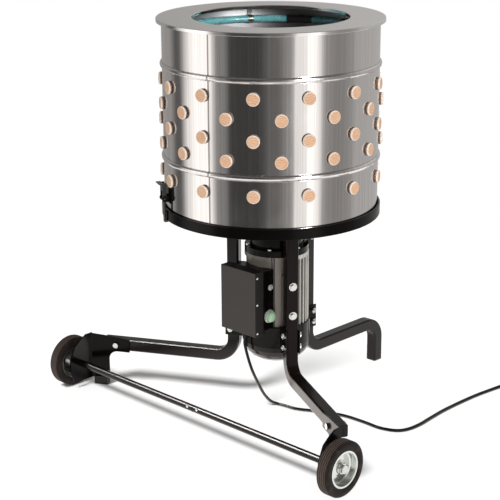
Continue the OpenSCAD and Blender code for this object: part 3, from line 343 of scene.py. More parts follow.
# %% Plug: body
sleeve_in_body = 0.003
floor_gap = 0.0002
body_size = Vector((0.030, 0.036, 2 * (coil_end.z - floor_gap)))
body_from = coil_end.y + sleeve_length - sleeve_in_body
body_round = 0.006
body_sharp = math.radians(40)
edge_round = 0.0006
cord_end_inset = 0.003
cord_end_rise = 0.0008
grip_inset = 0.003
grip_depth = 0.0012
face_inset = 0.0025
face_step = 0.0008
facing = 0.99
bpy.ops.object.select_all(action="DESELECT")
bpy.ops.mesh.primitive_cube_add(
    size=1,
    location=(coil_end.x, body_from + body_size.y / 2, coil_end.z),
    scale=body_size,
)
plug_body = named("plug_body")
edit(plug_body)
pick_edges(plug_body, lambda a, b: abs(a.y - b.y) > body_size.y / 2)
bpy.ops.mesh.bevel(offset=body_round, segments=4, affect="EDGES")
pick_faces(plug_body, lambda middle, normal: normal.y < -facing)
bpy.ops.mesh.inset(thickness=cord_end_inset, depth=0.0)
bpy.ops.transform.translate(value=(0, -cord_end_rise, 0))
pick_faces(plug_body, lambda middle, normal: abs(normal.x) > facing)
bpy.ops.mesh.inset(thickness=grip_inset, depth=-grip_depth, use_individual=True)
pick_faces(plug_body, lambda middle, normal: normal.y > facing)
bpy.ops.mesh.inset(thickness=face_inset, depth=0.0)
bpy.ops.mesh.inset(thickness=face_step, depth=-face_step)
leave()
modify(plug_body, "BEVEL", width=edge_round, segments=2, limit_method="ANGLE", angle_limit=body_sharp)
plug = soften(join([plug_body, sleeve], "plug"))
fitted(plug, "frame")
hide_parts("cord_plug")
print("plug with", len(plug.data.polygons), "faces")

# %% Plug: blades and pin
face_sunk = 0.001
plug_face = body_from + body_size.y - face_sunk
contact_sunk = 0.0005
blade_size = Vector((0.0015, 0.018, 0.0063))
blade_side = 0.00635
blade_rise = 0.00285
blade_z = coil_end.z + blade_rise
blade_y = plug_face + blade_size.y / 2 - contact_sunk
tip_share = (0.5, 1, 0.7)
tip_round = 0.0003
contacts = []
for blade_x in (coil_end.x - blade_side, coil_end.x + blade_side):
    bpy.ops.object.select_all(action="DESELECT")
    bpy.ops.mesh.primitive_cube_add(size=1, location=(blade_x, blade_y, blade_z), scale=blade_size)
    blade = named("plug_blade")
    edit(blade)
    pick_faces(blade, lambda middle, normal: normal.y > facing)
    bpy.ops.transform.resize(value=tip_share, center_override=(blade_x, 0, blade_z))
    leave()
    contacts.append(modify(blade, "BEVEL", width=tip_round, segments=2))
pin_r = 0.0024
pin_drop = 0.006
pin_z = coil_end.z - pin_drop
pin_sides = 20
pin_profile = [(0.0, 0.0), (pin_r, 0.0), (pin_r, 0.0165), (0.0019, 0.0182)]
pin_profile += [(0.0009, 0.0187), (0.0, 0.0188)]
pin = lathe("plug_pin", pin_profile, pin_sides)
contacts.append(place(pin, (coil_end.x, plug_face - contact_sunk, pin_z), along_y))
plug_pins = soften(join(contacts, "plug_pins"))
fitted(plug_pins, "frame")
print("plug blades are", round(blade_size.y, 3), "m long")

# %% Coil: tie
strap_room = 0.0021
strap_width = 0.0052
strap_thick = 0.001
strap_round = 0.0032
strap_edge = 0.0002
strap_sharp = math.radians(50)
bundle = Vector((coil_step + lead_d, 0, 2 * lead_d + coil_gap))
bundle_x = coil_centre.x + coil_r - coil_step * coil_turns / 2 - lead_d / 2
bundle_low = Vector((bundle_x, coil_centre.y, coil_centre.z - lead_d / 2))
tie_size = bundle + Vector((strap_room, strap_width, strap_room))
tie_middle = bundle_low + bundle / 2
bpy.ops.object.select_all(action="DESELECT")
bpy.ops.mesh.primitive_cube_add(size=1, location=tie_middle, scale=tie_size)
coil_tie = named("coil_tie")
edit(coil_tie)
pick_faces(coil_tie, lambda middle, normal: abs(normal.y) > facing)
bpy.ops.mesh.delete(type="FACE")
pick_edges(coil_tie, lambda a, b: abs(a.y - b.y) > strap_width / 2)
bpy.ops.mesh.bevel(offset=strap_round, segments=5, affect="EDGES")
leave()
modify(coil_tie, "SOLIDIFY", thickness=strap_thick, offset=-1)
modify(coil_tie, "BEVEL", width=strap_edge, segments=1, limit_method="ANGLE", angle_limit=strap_sharp)
soften(coil_tie)
fitted(coil_tie, "frame")
print("coil tie is", [round(side * 1000, 1) for side in tie_size], "mm")

# %% [markdown]
# ## Shader maths
#
# A finish is a sum of small patterns. Its nodes could be placed and joined one at a time, but a sum is
# easier to read as a plain expression. So one class wraps a socket, and each of Python's operators
# adds one Math node. Every other node comes from its node method, which takes the node's type, its
# settings and what goes into its sockets.

# %% Shader value class


class Value:
    """A socket of a node tree. An operator on it adds a Math node and gives that node's value."""

    def __init__(self, tree, socket=None):
        self.tree = tree
        self.socket = socket

    def node(self, kind, settings=None, inputs=None, output=0):
        """Adds a node, fills its sockets with values or constants, and gives one of its outputs."""
        made = self.tree.nodes.new(kind)
        for name, setting in (settings or {}).items():
            setattr(made, name, setting)
        for name, value in (inputs or {}).items():
            if isinstance(value, Value):
                self.tree.links.new(value.socket, made.inputs[name])
            else:
                made.inputs[name].default_value = value
        return Value(self.tree, made.outputs[output] if made.outputs else None)

    def other(self, name):
        """Another output of the same node."""
        return Value(self.tree, self.socket.node.outputs[name])

    def maths(self, operation, *values):
        """Adds a Math node."""
        return self.node("ShaderNodeMath", {"operation": operation}, dict(enumerate(values)))

    def __add__(self, right):
        return self.maths("ADD", self, right)

    __radd__ = __add__

    def __sub__(self, right):
        return self.maths("SUBTRACT", self, right)

    def __rsub__(self, left):
        return self.maths("SUBTRACT", left, self)

    def __mul__(self, right):
        return self.maths("MULTIPLY", self, right)

    __rmul__ = __mul__

    def __abs__(self):
        return self.maths("ABSOLUTE", self)


print("shader maths is ready")

# %% Colours and patterns


def ink(red, green, blue):
    """A colour from its screen values, 0 to 255, as the light that a shader works with."""
    shares = [value / 255 for value in (red, green, blue)]
    light = [s / 12.92 if s <= 0.04045 else ((s + 0.055) / 1.055) ** 2.4 for s in shares]
    return (*light, 1)


def noise(here, scale, detail=2.0, rough=0.5):
    """Cloudy noise from 0 to 1."""
    sockets = {"Vector": here, "Scale": scale, "Detail": detail, "Roughness": rough}
    return here.node("ShaderNodeTexNoise", None, sockets)


def mixed(share, first, second):
    """First where share is 0 and second where it is 1, as colours."""
    sockets = {0: share, 6: first, 7: second}
    return share.node("ShaderNodeMix", {"data_type": "RGBA"}, sockets, output=2)


def between_marks(value, low, high):
    """A soft step from 0 at low to 1 at high."""
    sockets = {"Value": value, "From Min": low, "From Max": high}
    return value.node("ShaderNodeMapRange", {"interpolation_type": "SMOOTHSTEP"}, sockets)


print("middle grey is", round(ink(128, 128, 128)[0], 3), "in light")

# %% Places and directions


def vectors(operation, first, second, output="Vector"):
    """One step of vector maths. A dot product or a distance is its Value output."""
    return first.node("ShaderNodeVectorMath", {"operation": operation}, {0: first, 1: second}, output)


def stretched(here, scales):
    """Coordinates multiplied along X, Y and Z."""
    return vectors("MULTIPLY", here, scales)


def dot(first, second):
    """The dot product of two vectors."""
    return vectors("DOT_PRODUCT", first, second, "Value")


def part(vector, axis):
    """One coordinate of a vector. The others are its other outputs."""
    return vector.node("ShaderNodeSeparateXYZ", None, {0: vector}, axis)


def measured_from(here, centre):
    """The X of coordinates measured from another point, with Y and Z as its other outputs."""
    return part(vectors("SUBTRACT", here, centre), "X")


def reach_of(x):
    """The distance from an upright axis."""
    return x.maths("SQRT", x * x + x.other("Y") * x.other("Y"))


def turn_of(x):
    """The angle round an upright axis, in radians."""
    return x.maths("ARCTAN2", x.other("Y"), x)


def true_normal(here):
    """The direction that the surface itself faces."""
    return here.node("ShaderNodeNewGeometry", output="Normal")


print("vector helpers are ready")

# %% Edges, bumps and materials
edge_marks = (0.01, 0.16)


def round_edges(here, radius):
    """Normals that run round a sharp edge, as on a real folded or cast piece."""
    return here.node("ShaderNodeBevel", {"samples": 4}, {"Radius": radius}, output="Normal")


def edge_mask(here, bent):
    """Near 1 on an edge, where the rounded normal leaves the true one."""
    return between_marks(1 - dot(bent, true_normal(here)), *edge_marks)


def dented(height, distance, strength, normal=None):
    """Bump from a height of 0 to 1, with distance as the real depth in metres."""
    sockets = {"Height": height, "Distance": distance, "Strength": strength}
    if normal is not None:
        sockets["Normal"] = normal
    return height.node("ShaderNodeBump", None, sockets)


def finish(name, recipe):
    """A material whose recipe gives the Principled shader's sockets from Object coordinates."""
    material = bpy.data.materials.new(name)
    material.use_nodes = True
    material.node_tree.nodes.clear()
    blank = Value(material.node_tree)
    here = blank.node("ShaderNodeTexCoord", output="Object")
    surface = blank.node("ShaderNodeBsdfPrincipled", None, recipe(here))
    blank.node("ShaderNodeOutputMaterial", None, {"Surface": surface})
    return material


def coat(material, *pieces):
    """Puts one finish on pieces, whole."""
    for piece in pieces:
        piece.data.materials.clear()
        piece.data.materials.append(material)


print("material helpers are ready")

# %% [markdown]
# ## Floor and light
#
# A steel drum is a mirror, so what stands round it matters more than the lamps. A picture of a real
# room could surround it, but its bright bands can't be moved one by one. So the room is a grey ring
# with a few tall cards, a window and a dark side, which only reflections see. Each has its middle,
# half width, soft edge in degrees and its light. The pale wall is brighter higher up, where the flat
# rim sees it. Diffuse light from the room is plain and even. The floor is a white disc, with a warm
# glow under the motor that only reflections see. Past its edge the background is white.

# %% World
drum_y = -0.046
wall_light = 0.25
overhead_light = 0.1
overhead_heights = (0.45, 0.8)
even_light = 0.55
mirror_gain = 1.4
pale_middle = 95
high_edges = (31, 43)
high_heights = (0.1, 0.25)
high_gain = 0.34
white = (1, 1, 1, 1)
room_cards = {
    "pale wall": (pale_middle, 36, 16, 0.345),
    "far corner": (29, 4, 14, 0.2),
    "gap": (198, 3, 12, 0.085),
    "large window": (243, 14, 28, 1.0),
    "window post": (264, 7, 12, 0.19),
    "dark side": (291, 18, 9, 0.043),
    "grey stand": (327, 2, 18, 0.22),
    "stand shade": (317, 3, 13, 0.11),
    "bright card": (356, 3.5, 13, 1.0),
    "narrow card": (344.5, 5.5, 3.5, 0.75),
}
world = bpy.data.worlds.new("studio")
bpy.context.scene.world = world
world.use_nodes = True
world.node_tree.nodes.clear()
blank = Value(world.node_tree)
east = part(blank.node("ShaderNodeTexCoord", output="Generated"), "X")
up = east.other("Z")
azimuth = turn_of(east) * (180 / math.pi)
room = wall_light
for middle, half, soft, light in room_cards.values():
    away = abs(blank.maths("WRAP", azimuth - middle, 180, -180))
    room = room + (1 - between_marks(away, half, half + soft)) * (light - room)
high_wall = 1 - between_marks(abs(azimuth - pale_middle), *high_edges)
room = room * (1 + between_marks(up, *high_heights) * high_wall * high_gain)
room = room + between_marks(up, *overhead_heights) * (overhead_light - room)
mirror_tint = (1, 0.98, 0.96, 1)
mirror_light = room * mirror_gain
ray = blank.node("ShaderNodeLightPath", output="Is Glossy Ray")
even = blank.node("ShaderNodeBackground", None, {"Color": white, "Strength": even_light})
mirrored = blank.node("ShaderNodeBackground", None, {"Color": mirror_tint, "Strength": mirror_light})
backdrop = blank.node("ShaderNodeBackground", None, {"Color": white, "Strength": 1.0})
lit = blank.node("ShaderNodeMixShader", None, {0: ray, 1: even, 2: mirrored})
shown = blank.node("ShaderNodeMixShader", None, {0: ray.other("Is Camera Ray"), 1: lit, 2: backdrop})
blank.node("ShaderNodeOutputWorld", None, {"Surface": shown})
print("room with", len(room_cards), "cards")

# %% Floor
floor_r = 1.55
floor_sides = 96
floor_grey = (0.5, 0.5, 0.5, 1)
glow_middle = (-0.02, -0.1, 0)
glow_marks = (0.15, 0.36)
glow_tint = (1, 0.91, 0.85, 1)
glow_light = 2.0
plain_glow = 0.16
seen_glow = 0.05
lift_strength = 5.0
black = (0, 0, 0, 1)
bpy.ops.object.select_all(action="DESELECT")
bpy.ops.mesh.primitive_circle_add(vertices=floor_sides, radius=floor_r, fill_type="NGON")
floor = bpy.context.object
floor.name = "studio_floor"
floor_material = bpy.data.materials.new("floor_white")
floor_material.use_nodes = True
floor_material.node_tree.nodes.clear()
blank = Value(floor_material.node_tree)
ray = blank.node("ShaderNodeLightPath", output="Is Camera Ray")
matt = blank.node("ShaderNodeBsdfDiffuse", None, {"Color": floor_grey})
spot = blank.node("ShaderNodeTexCoord", output="Object")
near = 1 - between_marks(vectors("DISTANCE", spot, glow_middle, "Value"), *glow_marks)
glow = ray * seen_glow + ray.other("Is Glossy Ray") * (plain_glow + near * glow_light)
tinted = mixed(glow * (1 / lift_strength), black, glow_tint)
lift = blank.node("ShaderNodeEmission", None, {"Color": tinted, "Strength": lift_strength})
surface = blank.node("ShaderNodeAddShader", None, {0: matt, 1: lift})
blank.node("ShaderNodeOutputMaterial", None, {"Surface": surface})
coat(floor_material, floor)
print("floor disc is", round(floor.dimensions.x, 2), "m across")

# %% [markdown]
# ## Five lamps
#
# One strong lamp could light everything, but its highlights and its shadows couldn't be set one by
# one. So each lamp has one task. The first lights the machine from the right, and the second reaches
# in under the drum's rim. The third stands high on the left and the fourth nearly overhead. These two
# are seen only as bright lines: the third on the painted tubes, the cowl and the lead, the fourth
# along the left leg's upper edge. The last lights the floor, and only the left leg and wheel, the
# brackets with their foot blocks, the axle and the lead throw its shadow there.

# %% Lamp helpers
lamp_distance = 3


def linked(name, pieces, state):
    """A group that a lamp lights, leaves out, or takes its shadows from."""
    group = bpy.data.collections.new(name)
    for piece in pieces:
        group.objects.link(piece)
    for entry in group.collection_objects:
        entry.light_linking.link_state = state
    return group


def sun(name, direction, spread, energy):
    """A distant lamp that shines from a direction, with its apparent width in degrees."""
    bpy.ops.object.select_all(action="DESELECT")
    turn = (-Vector(direction)).to_track_quat("-Z", "Y").to_euler()
    bpy.ops.object.light_add(type="SUN", location=Vector(direction) * lamp_distance, rotation=turn)
    lamp = bpy.context.object
    lamp.name = name
    lamp.data.angle = math.radians(spread)
    lamp.data.energy = energy
    return lamp


print("lamps are drawn", lamp_distance, "m away, and shine from any distance")

# %% Lamps
side_lamp = sun("side_lamp", (0.80, -0.45, 0.42), 24, 1.2)
side_lamp.visible_glossy = False
side_lamp.light_linking.receiver_collection = linked("side_lamp_leaves_out", [floor], "EXCLUDE")
mouth_lamp = sun("mouth_lamp", (0.967, -0.17, 0.19), 14, 3.4)
hose_pieces = [nodes[name] for name in ("tub", "irrigation_hose", "hose_clips")]
mouth_lamp.light_linking.receiver_collection = linked("mouth_lamp_lights", hose_pieces, "INCLUDE")
gloss_lamp = sun("gloss_lamp", (-0.57, -0.31, 0.76), 20, 7.0)
gloss_lamp.visible_diffuse = False
gloss_lamp.data.color = (1, 0.96, 0.93)
tubes = [nodes[name] for name in ("axle_tubes", "left_leg", "right_leg", "rear_leg", "fan_cowl")]
gloss_lamp.light_linking.receiver_collection = linked("gloss_lamp_lights", tubes + [lead], "INCLUDE")
edge_lamp = sun("edge_lamp", (-0.120, -0.451, 0.884), 20, 12.0)
edge_lamp.visible_diffuse = False
left_leg = [nodes["left_leg"]]
edge_lamp.light_linking.receiver_collection = linked("edge_lamp_lights", left_leg, "INCLUDE")
edge_lamp.light_linking.blocker_collection = linked("edge_lamp_shadows", left_leg, "INCLUDE")
floor_lamp = sun("floor_lamp", (0.0, -0.72, 1.0), 16, 6.2)
floor_lamp.visible_glossy = False
floor_lamp.light_linking.receiver_collection = linked("floor_lamp_lights", [floor], "INCLUDE")
stand = ("left_leg", "wheel_brackets", "axle_tubes", "foot_blocks", "left_tyre", "left_rim")
shadow_pieces = [nodes[name] for name in stand] + [lead]
floor_lamp.light_linking.blocker_collection = linked("floor_lamp_shadows", shadow_pieces, "INCLUDE")
print("five lamps, and", len(shadow_pieces), "pieces throw a shadow on the floor")

# %% [markdown]
# ## Stainless sheet
#
# The drum is rolled from polished sheet. Rolling leaves fine lines round it and a slight waviness
# that makes the reflections swim. Upright streaks tint it, and the sheet's two ends meet in an
# upright lap seam. A picture of steel could be wrapped round the drum, but noise that is stretched
# along an axis needs no unwrapping and doesn't repeat. The drum is duller inside, which is told from
# the distance to its axis.

# %% Drum steel
drum_axis = (0, drum_y, 0)
drum_r = 0.254
inner_skin = (drum_r - 0.0006, drum_r - 0.001)
seam_turn = math.radians(-79.2)
seam_marks = (0.0009, 0.0026)


def drum_steel(here):
    x = measured_from(here, drum_axis)
    lines = noise(stretched(here, (9, 9, 1400)), 1.0, 3.0, 0.6)
    cloud = noise(here, 7.0, 3.0)
    waves = noise(stretched(here, (11, 11, 2.2)), 1.0, 1.0)
    seam = 1 - between_marks(abs(turn_of(x) - seam_turn) * drum_r, *seam_marks)
    smudge = between_marks(noise(here, 16.0, 4.0), 0.52, 0.75)
    inside = between_marks(reach_of(x), *inner_skin)
    streak = noise(stretched(here, (230, 230, 1.2)), 1.0, 3.0, 0.6)
    tint = mixed(between_marks(streak, 0.25, 0.75), (0.67, 0.635, 0.62, 1), (0.81, 0.785, 0.77, 1))
    tint = mixed(cloud * 0.3, tint, (0.70, 0.68, 0.66, 1))
    tint = mixed(inside, tint, (0.36, 0.36, 0.37, 1))
    height = waves * 6 + lines * 0.03 - seam * 0.6
    return {
        "Base Color": mixed(seam * 0.75, tint, (0.25, 0.22, 0.20, 1)),
        "Metallic": 1.0,
        "Roughness": 0.085 + lines * 0.05 + smudge * 0.04 + seam * 0.3 + inside * 0.34,
        "Normal": dented(height, 0.0004, 0.5, round_edges(here, 0.0025)),
    }


stainless_drum = finish("stainless_drum", drum_steel)
coat(stainless_drum, nodes["tub"])
print("drum seam at", round(math.degrees(seam_turn), 1), "degrees")

# %% Rim and plate steel


def rim_steel(here):
    flat = between_marks(abs(part(true_normal(here), "Z")), 0.2, 0.7)
    grain = noise(stretched(here, (500, 500, 40)), 1.0, 3.0)
    cloud = noise(here, 9.0, 3.0)
    bent = round_edges(here, 0.0015)
    return {
        "Base Color": mixed(cloud, (0.78, 0.765, 0.75, 1), (0.87, 0.855, 0.84, 1)),
        "Metallic": 1.0,
        "Roughness": 0.09 + flat * 0.2 + grain * 0.12,
        "Normal": dented(grain, 0.00003, 0.4, bent),
    }


stainless_rim = finish("stainless_rim", rim_steel)
coat(stainless_rim, nodes["rim_ring"], nodes["feather_plate"])
print("rim steel on the", nodes["rim_ring"].name, "and the", nodes["feather_plate"].name)

# %% [markdown]
# ## Rubber fingers
#
# The fingers are tan natural rubber, moulded in batches, so each is a little paler or redder than
# its neighbour. The face of a head has slanting cut marks and a painted highlight on its rim, and
# its side has painted shade near the drum. The rim and the side could be painted by hand, but the
# distance from the drum's axis finds them on every head at once.

# %% Finger rubber
# Marks of height above the drum: the head's rim gets a painted highlight, its side near the drum
# painted shade.
rim_highlight_marks = (0.0089, 0.0083)
foot_shade_marks = (0.0058, 0.0036)
drum_skin = (-0.001, 0.0005)
cut_slant = (0.45, -0.45, 0.77)
cut_turns = 1400


def finger_tan(here):
    proud = reach_of(measured_from(here, drum_axis)) - drum_r
    batch = noise(here, 21.0, 0.0)
    speck = noise(here, 420.0, 3.0, 0.6)
    along = dot(here, cut_slant) * cut_turns
    cut = here.maths("SINE", along + noise(here, 120.0, 3.0) * 8) * 0.5 + 0.5
    bent = round_edges(here, 0.0014)
    # A painted highlight on each head's rim and painted shade on its side near the drum.
    painted_highlight_ring = between_marks(proud, *rim_highlight_marks)
    painted_shade_under = between_marks(proud, *foot_shade_marks) * between_marks(proud, *drum_skin)
    tone = mixed(batch, ink(226, 174, 134), ink(242, 200, 166))
    tone = mixed(cut * 0.55, tone, ink(196, 136, 96))
    tone = mixed(between_marks(speck, 0.38, 0.68) * 0.5, tone, ink(250, 222, 194))
    tone = mixed(painted_highlight_ring * 0.85, tone, ink(255, 240, 226))
    return {
        "Base Color": mixed(painted_shade_under * 0.85, tone, ink(58, 36, 25)),
        "Roughness": 0.52 + speck * 0.2,
        "Specular IOR Level": 0.35,
        "Normal": dented(speck + cut * 0.8, 0.0003, 0.5, bent),
    }


finger_rubber = finish("finger_rubber", finger_tan)
row_count = 5
fingers = [nodes["plate_fingers"]]
fingers += [nodes[f"wall_fingers_row_{row + 1}"] for row in range(row_count)]
coat(finger_rubber, *fingers)
print("finger rubber on", len(fingers), "groups of fingers")

# %% [markdown]
# ## Water hose and brass
#
# The spray hose under the rim is clear teal plastic over a braid. The braid is two sets of threads
# that cross on the slant. They could be modelled, but they lie under the skin and hardly stand out,
# so they are drawn from the angle round the drum and the angle round the hose.
# The plug's blades and pin are brass.

# %% Hose
hose_low, hose_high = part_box("irrigation_hose")
hose_r = 0.009
hose_ring_r = 0.5 * (hose_high.x - hose_low.x) - hose_r
hose_z = 0.5 * (hose_high.z + hose_low.z)
braid_pitch = 0.0028
braid_starts = 3.0


def braided_hose(here):
    x = measured_from(here, (0, drum_y, hose_z))
    around = turn_of(x) * (hose_ring_r / braid_pitch)
    section = x.maths("ARCTAN2", x.other("Z"), reach_of(x) - hose_ring_r) * braid_starts
    first = abs(x.maths("SINE", around + section))
    second = abs(x.maths("SINE", around - section))
    thread = between_marks(x.maths("MINIMUM", first, second), 0.35, 0.05)
    cloud = noise(here, 60.0, 2.0)
    tone = mixed(cloud, ink(54, 118, 124), ink(84, 152, 156))
    return {
        "Base Color": mixed(thread * 0.55, tone, ink(158, 194, 194)),
        "Roughness": 0.22 + cloud * 0.1,
        "Coat Weight": 0.3,
        "Coat Roughness": 0.08,
        "Normal": dented(thread, 0.0003, 0.5),
    }


hose_plastic = finish("hose_plastic", braided_hose)
coat(hose_plastic, nodes["irrigation_hose"])
print("hose ring radius", round(hose_ring_r, 4), "m at height", round(hose_z, 4), "m")

# %% Brass


def turned_brass(here):
    rings = noise(stretched(here, (260, 260, 900)), 1.0, 2.0)
    tarnish = between_marks(noise(here, 90.0, 3.0), 0.4, 0.75)
    bent = round_edges(here, 0.0006)
    return {
        "Base Color": mixed(tarnish * 0.6, (0.72, 0.53, 0.25, 1), (0.42, 0.28, 0.12, 1)),
        "Metallic": 1.0,
        "Roughness": 0.24 + rings * 0.16,
        "Normal": dented(rings, 0.00004, 0.4, bent),
    }


brass = finish("brass", turned_brass)
coat(brass, plug_pins)
print("brass on", plug_pins.name)

# %% [markdown]
# ## Painted steel
#
# The stand is powder coated black. The coat is slightly pebbled, and it is thinnest on edges, where
# it turns greyer. The edges could be rounded in the mesh, but the solids stay as they are, so the
# shader bends the normals there and finds the thin paint by the same means. The paint is deepest on
# the brackets and housings, browner and glossier on the legs' tubes, duller on the leg in front, and
# wet black on the axle. The motor's cowl is dusty black, the box's lid is sprayed in a warm dark
# grey, and the pan under the drum is plain and dull.

# %% Black paint


def black_coat(here, corner, shine, thick, thin):
    """Black paint over corners of one radius, from its colour where thick to where it is thin."""
    pebble = noise(here, 950.0, 2.0)
    cloud = noise(here, 14.0, 3.0)
    bent = round_edges(here, corner)
    worn = edge_mask(here, bent)
    return {
        "Base Color": mixed(worn * 0.2, mixed(cloud, thick, thin), ink(84, 76, 70)),
        "Roughness": 0.12 + pebble * 0.05 + cloud * 0.07,
        "Specular IOR Level": shine,
        "Normal": dented(pebble, 0.00006, 0.25, bent),
    }


def powder_black(here):
    return black_coat(here, 0.0013, 0.11, ink(6, 4, 4), ink(12, 9, 8))


def tube_black(here):
    return black_coat(here, 0.003, 0.24, ink(18, 12, 11), ink(28, 20, 18))


def front_leg_black(here):
    return black_coat(here, 0.003, 0.1, ink(18, 12, 11), ink(28, 20, 18))


def axle_black(here):
    return black_coat(here, 0.003, 0.25, ink(9, 7, 7), ink(16, 12, 11))


black_paint = finish("black_paint", powder_black)
tube_paint = finish("tube_paint", tube_black)
front_leg_paint = finish("front_leg_paint", front_leg_black)
axle_paint = finish("axle_paint", axle_black)
painted = ["base_ring", "latch_bases", "gear_housing", "gear_cover", "wheel_brackets"]
painted += ["switch_box", "motor_end_shield"]
coat(black_paint, *[nodes[name] for name in painted])
coat(tube_paint, nodes["left_leg"], nodes["rear_leg"])
coat(front_leg_paint, nodes["right_leg"])
coat(axle_paint, nodes["axle_tubes"])
print("black paint on", len(painted), "pieces, the legs and the axle")

# %% Cowl, lid and pan
lid_out = max(nodes["box_lid"].data.polygons, key=lambda face: face.area).normal.copy()


def cowl_black(here):
    cloud = noise(here, 22.0, 3.0)
    dust = between_marks(noise(here, 140.0, 4.0), 0.5, 0.8)
    bent = round_edges(here, 0.0015)
    tone = mixed(cloud, ink(9, 6, 5), ink(18, 12, 11))
    return {
        "Base Color": mixed(dust * 0.12, tone, ink(74, 66, 58)),
        "Roughness": 0.13 + cloud * 0.08 + dust * 0.1,
        "Specular IOR Level": 0.15,
        "Normal": dented(noise(here, 500.0, 2.0), 0.00012, 0.3, bent),
    }


def lid_grey(here):
    # All faces but the lid's front are painted near black as shade.
    front_unshaded = between_marks(dot(true_normal(here), lid_out), 0.7, 0.95)
    grain = noise(here, 800.0, 3.0, 0.6)
    cloud = noise(here, 12.0, 3.0)
    bent = round_edges(here, 0.0016)
    worn = edge_mask(here, bent)
    tone = mixed(cloud, ink(58, 53, 50), ink(69, 64, 60))
    tone = mixed(front_unshaded, ink(20, 17, 16), tone)
    return {
        "Base Color": mixed(worn * 0.35, tone, ink(104, 99, 93)),
        "Roughness": 0.5 + grain * 0.15,
        "Specular IOR Level": 0.3,
        "Normal": dented(grain, 0.00015, 0.35, bent),
    }


def dull_pan(here):
    grain = noise(here, 300.0, 3.0)
    cloud = noise(here, 10.0, 3.0)
    return {
        "Base Color": mixed(cloud, ink(58, 57, 56), ink(86, 84, 82)),
        "Metallic": 0.4,
        "Roughness": 0.42 + grain * 0.15,
        "Normal": dented(grain, 0.0001, 0.3, round_edges(here, 0.001)),
    }


cowl_paint = finish("cowl_paint", cowl_black)
lid_paint = finish("lid_paint", lid_grey)
pan_steel = finish("pan_steel", dull_pan)
coat(cowl_paint, nodes["fan_cowl"])
coat(lid_paint, nodes["box_lid"])
coat(pan_steel, nodes["pan_floor"])
print("box lid faces", [round(share, 2) for share in lid_out])

# %% [markdown]
# ## Bare and plated metal
#
# Bolts and wheel rims are zinc plated: bright, slightly cloudy and a touch green. The box's screws
# and the button's bezel are paler. These could be three finishes, but they differ only in shade and
# polish, so one recipe serves them all. The latches are dark with bright edges. The shafts and gears
# are machined, and the stator and rotor are stacked from thin sheets.

# %% Zinc plate


def plating(here, shade, metal, rough):
    """Zinc with a cloudy bloom, from its mean shade, how metallic it is and its roughness."""
    bloom = noise(here, 75.0, 4.0, 0.6)
    fine = noise(here, 700.0, 2.0)
    dim = (shade - 0.11, shade - 0.09, shade - 0.12, 1)
    pale = (shade + 0.11, shade + 0.12, shade + 0.08, 1)
    return {
        "Base Color": mixed(bloom, dim, pale),
        "Metallic": metal,
        "Roughness": rough + bloom * 0.12,
        "Normal": dented(fine, 0.00003, 0.4, round_edges(here, 0.0007)),
    }


def zinc_plate(here):
    return plating(here, 0.63, 1.0, 0.13)


def wheel_plate(here):
    return plating(here, 0.68, 1.0, 0.15)


def pale_plate(here):
    return plating(here, 0.72, 0.5, 0.2)


zinc = finish("zinc", zinc_plate)
wheel_zinc = finish("wheel_zinc", wheel_plate)
pale_zinc = finish("pale_zinc", pale_plate)
plated = ["pan_bolts", "plate_bolts", "housing_bolts", "leg_bolts", "axle_fasteners"]
plated += ["axle_rod", "hose_clips"]
coat(zinc, *[nodes[name] for name in plated])
coat(wheel_zinc, nodes["left_rim"], nodes["right_rim"])
coat(pale_zinc, nodes["box_screws"], nodes["button_bezel"])
print("zinc on", len(plated), "pieces, the wheel rims, the box's screws and the bezel")

# %% Latches, shafts and sheets
sheet_pitch = 0.001


def dark_latch(here):
    bloom = noise(here, 90.0, 3.0)
    bent = round_edges(here, 0.0006)
    worn = edge_mask(here, bent)
    return {
        "Base Color": mixed(worn * 0.6, (0.05, 0.048, 0.045, 1), (0.5, 0.49, 0.47, 1)),
        "Metallic": 1.0,
        "Roughness": 0.18 + bloom * 0.14,
        "Normal": dented(bloom, 0.00005, 0.3, bent),
    }


def machined_steel(here):
    cuts = noise(stretched(here, (120, 120, 1500)), 1.0, 2.0)
    oil = noise(here, 30.0, 3.0)
    return {
        "Base Color": mixed(oil, (0.46, 0.45, 0.43, 1), (0.62, 0.61, 0.60, 1)),
        "Metallic": 1.0,
        "Roughness": 0.2 + cuts * 0.15,
        "Normal": dented(cuts, 0.00003, 0.4, round_edges(here, 0.0004)),
    }


def stacked_sheets(here):
    layer = abs(here.maths("SINE", part(here, "Z") * (math.pi / sheet_pitch)))
    cloud = noise(here, 40.0, 2.0)
    return {
        "Base Color": mixed(cloud, ink(96, 84, 74), ink(128, 112, 98)),
        "Metallic": 0.7,
        "Roughness": 0.45 + layer * 0.15,
        "Normal": dented(layer, 0.0001, 0.5),
    }


dark_zinc = finish("dark_zinc", dark_latch)
turned_steel = finish("turned_steel", machined_steel)
laminations = finish("laminations", stacked_sheets)
latched = ["front_latch_lever", "front_latch_hook", "rear_latch_lever", "rear_latch_hook"]
turned = ["plate_hub", "output_shaft", "output_gear", "intermediate_gears", "bearings", "motor_shaft"]
coat(dark_zinc, *[nodes[name] for name in latched])
coat(turned_steel, *[nodes[name] for name in turned])
coat(laminations, nodes["motor_stator"], nodes["motor_rotor"])
print("latch pieces", len(latched), "and turned pieces", len(turned))

# %% [markdown]
# ## The motor's case
#
# The case is a casting with a fine sandy skin. Its ribs are painted pale as lit, with painted shade
# in the grooves between them, and its smooth front is painted darker as shade, with two narrow
# upright slots painted as dark lines of shade. The ribs are solid. The shade could be painted on, but
# the distance from the motor's axis tells a rib's crest from the groove beside it. The slots are
# drawn by their angle round that axis.

# %% Motor case
motor_shift = 0.020
motor_y = drum_y + motor_shift
motor_r = 0.074
ribs_start = (-0.027, -0.019)
rib_depth = (0.0778, 0.0752)
slot_turn = math.radians(-53)
slot_side = 0.0026
slot_marks = (0.0011, 0.0019)


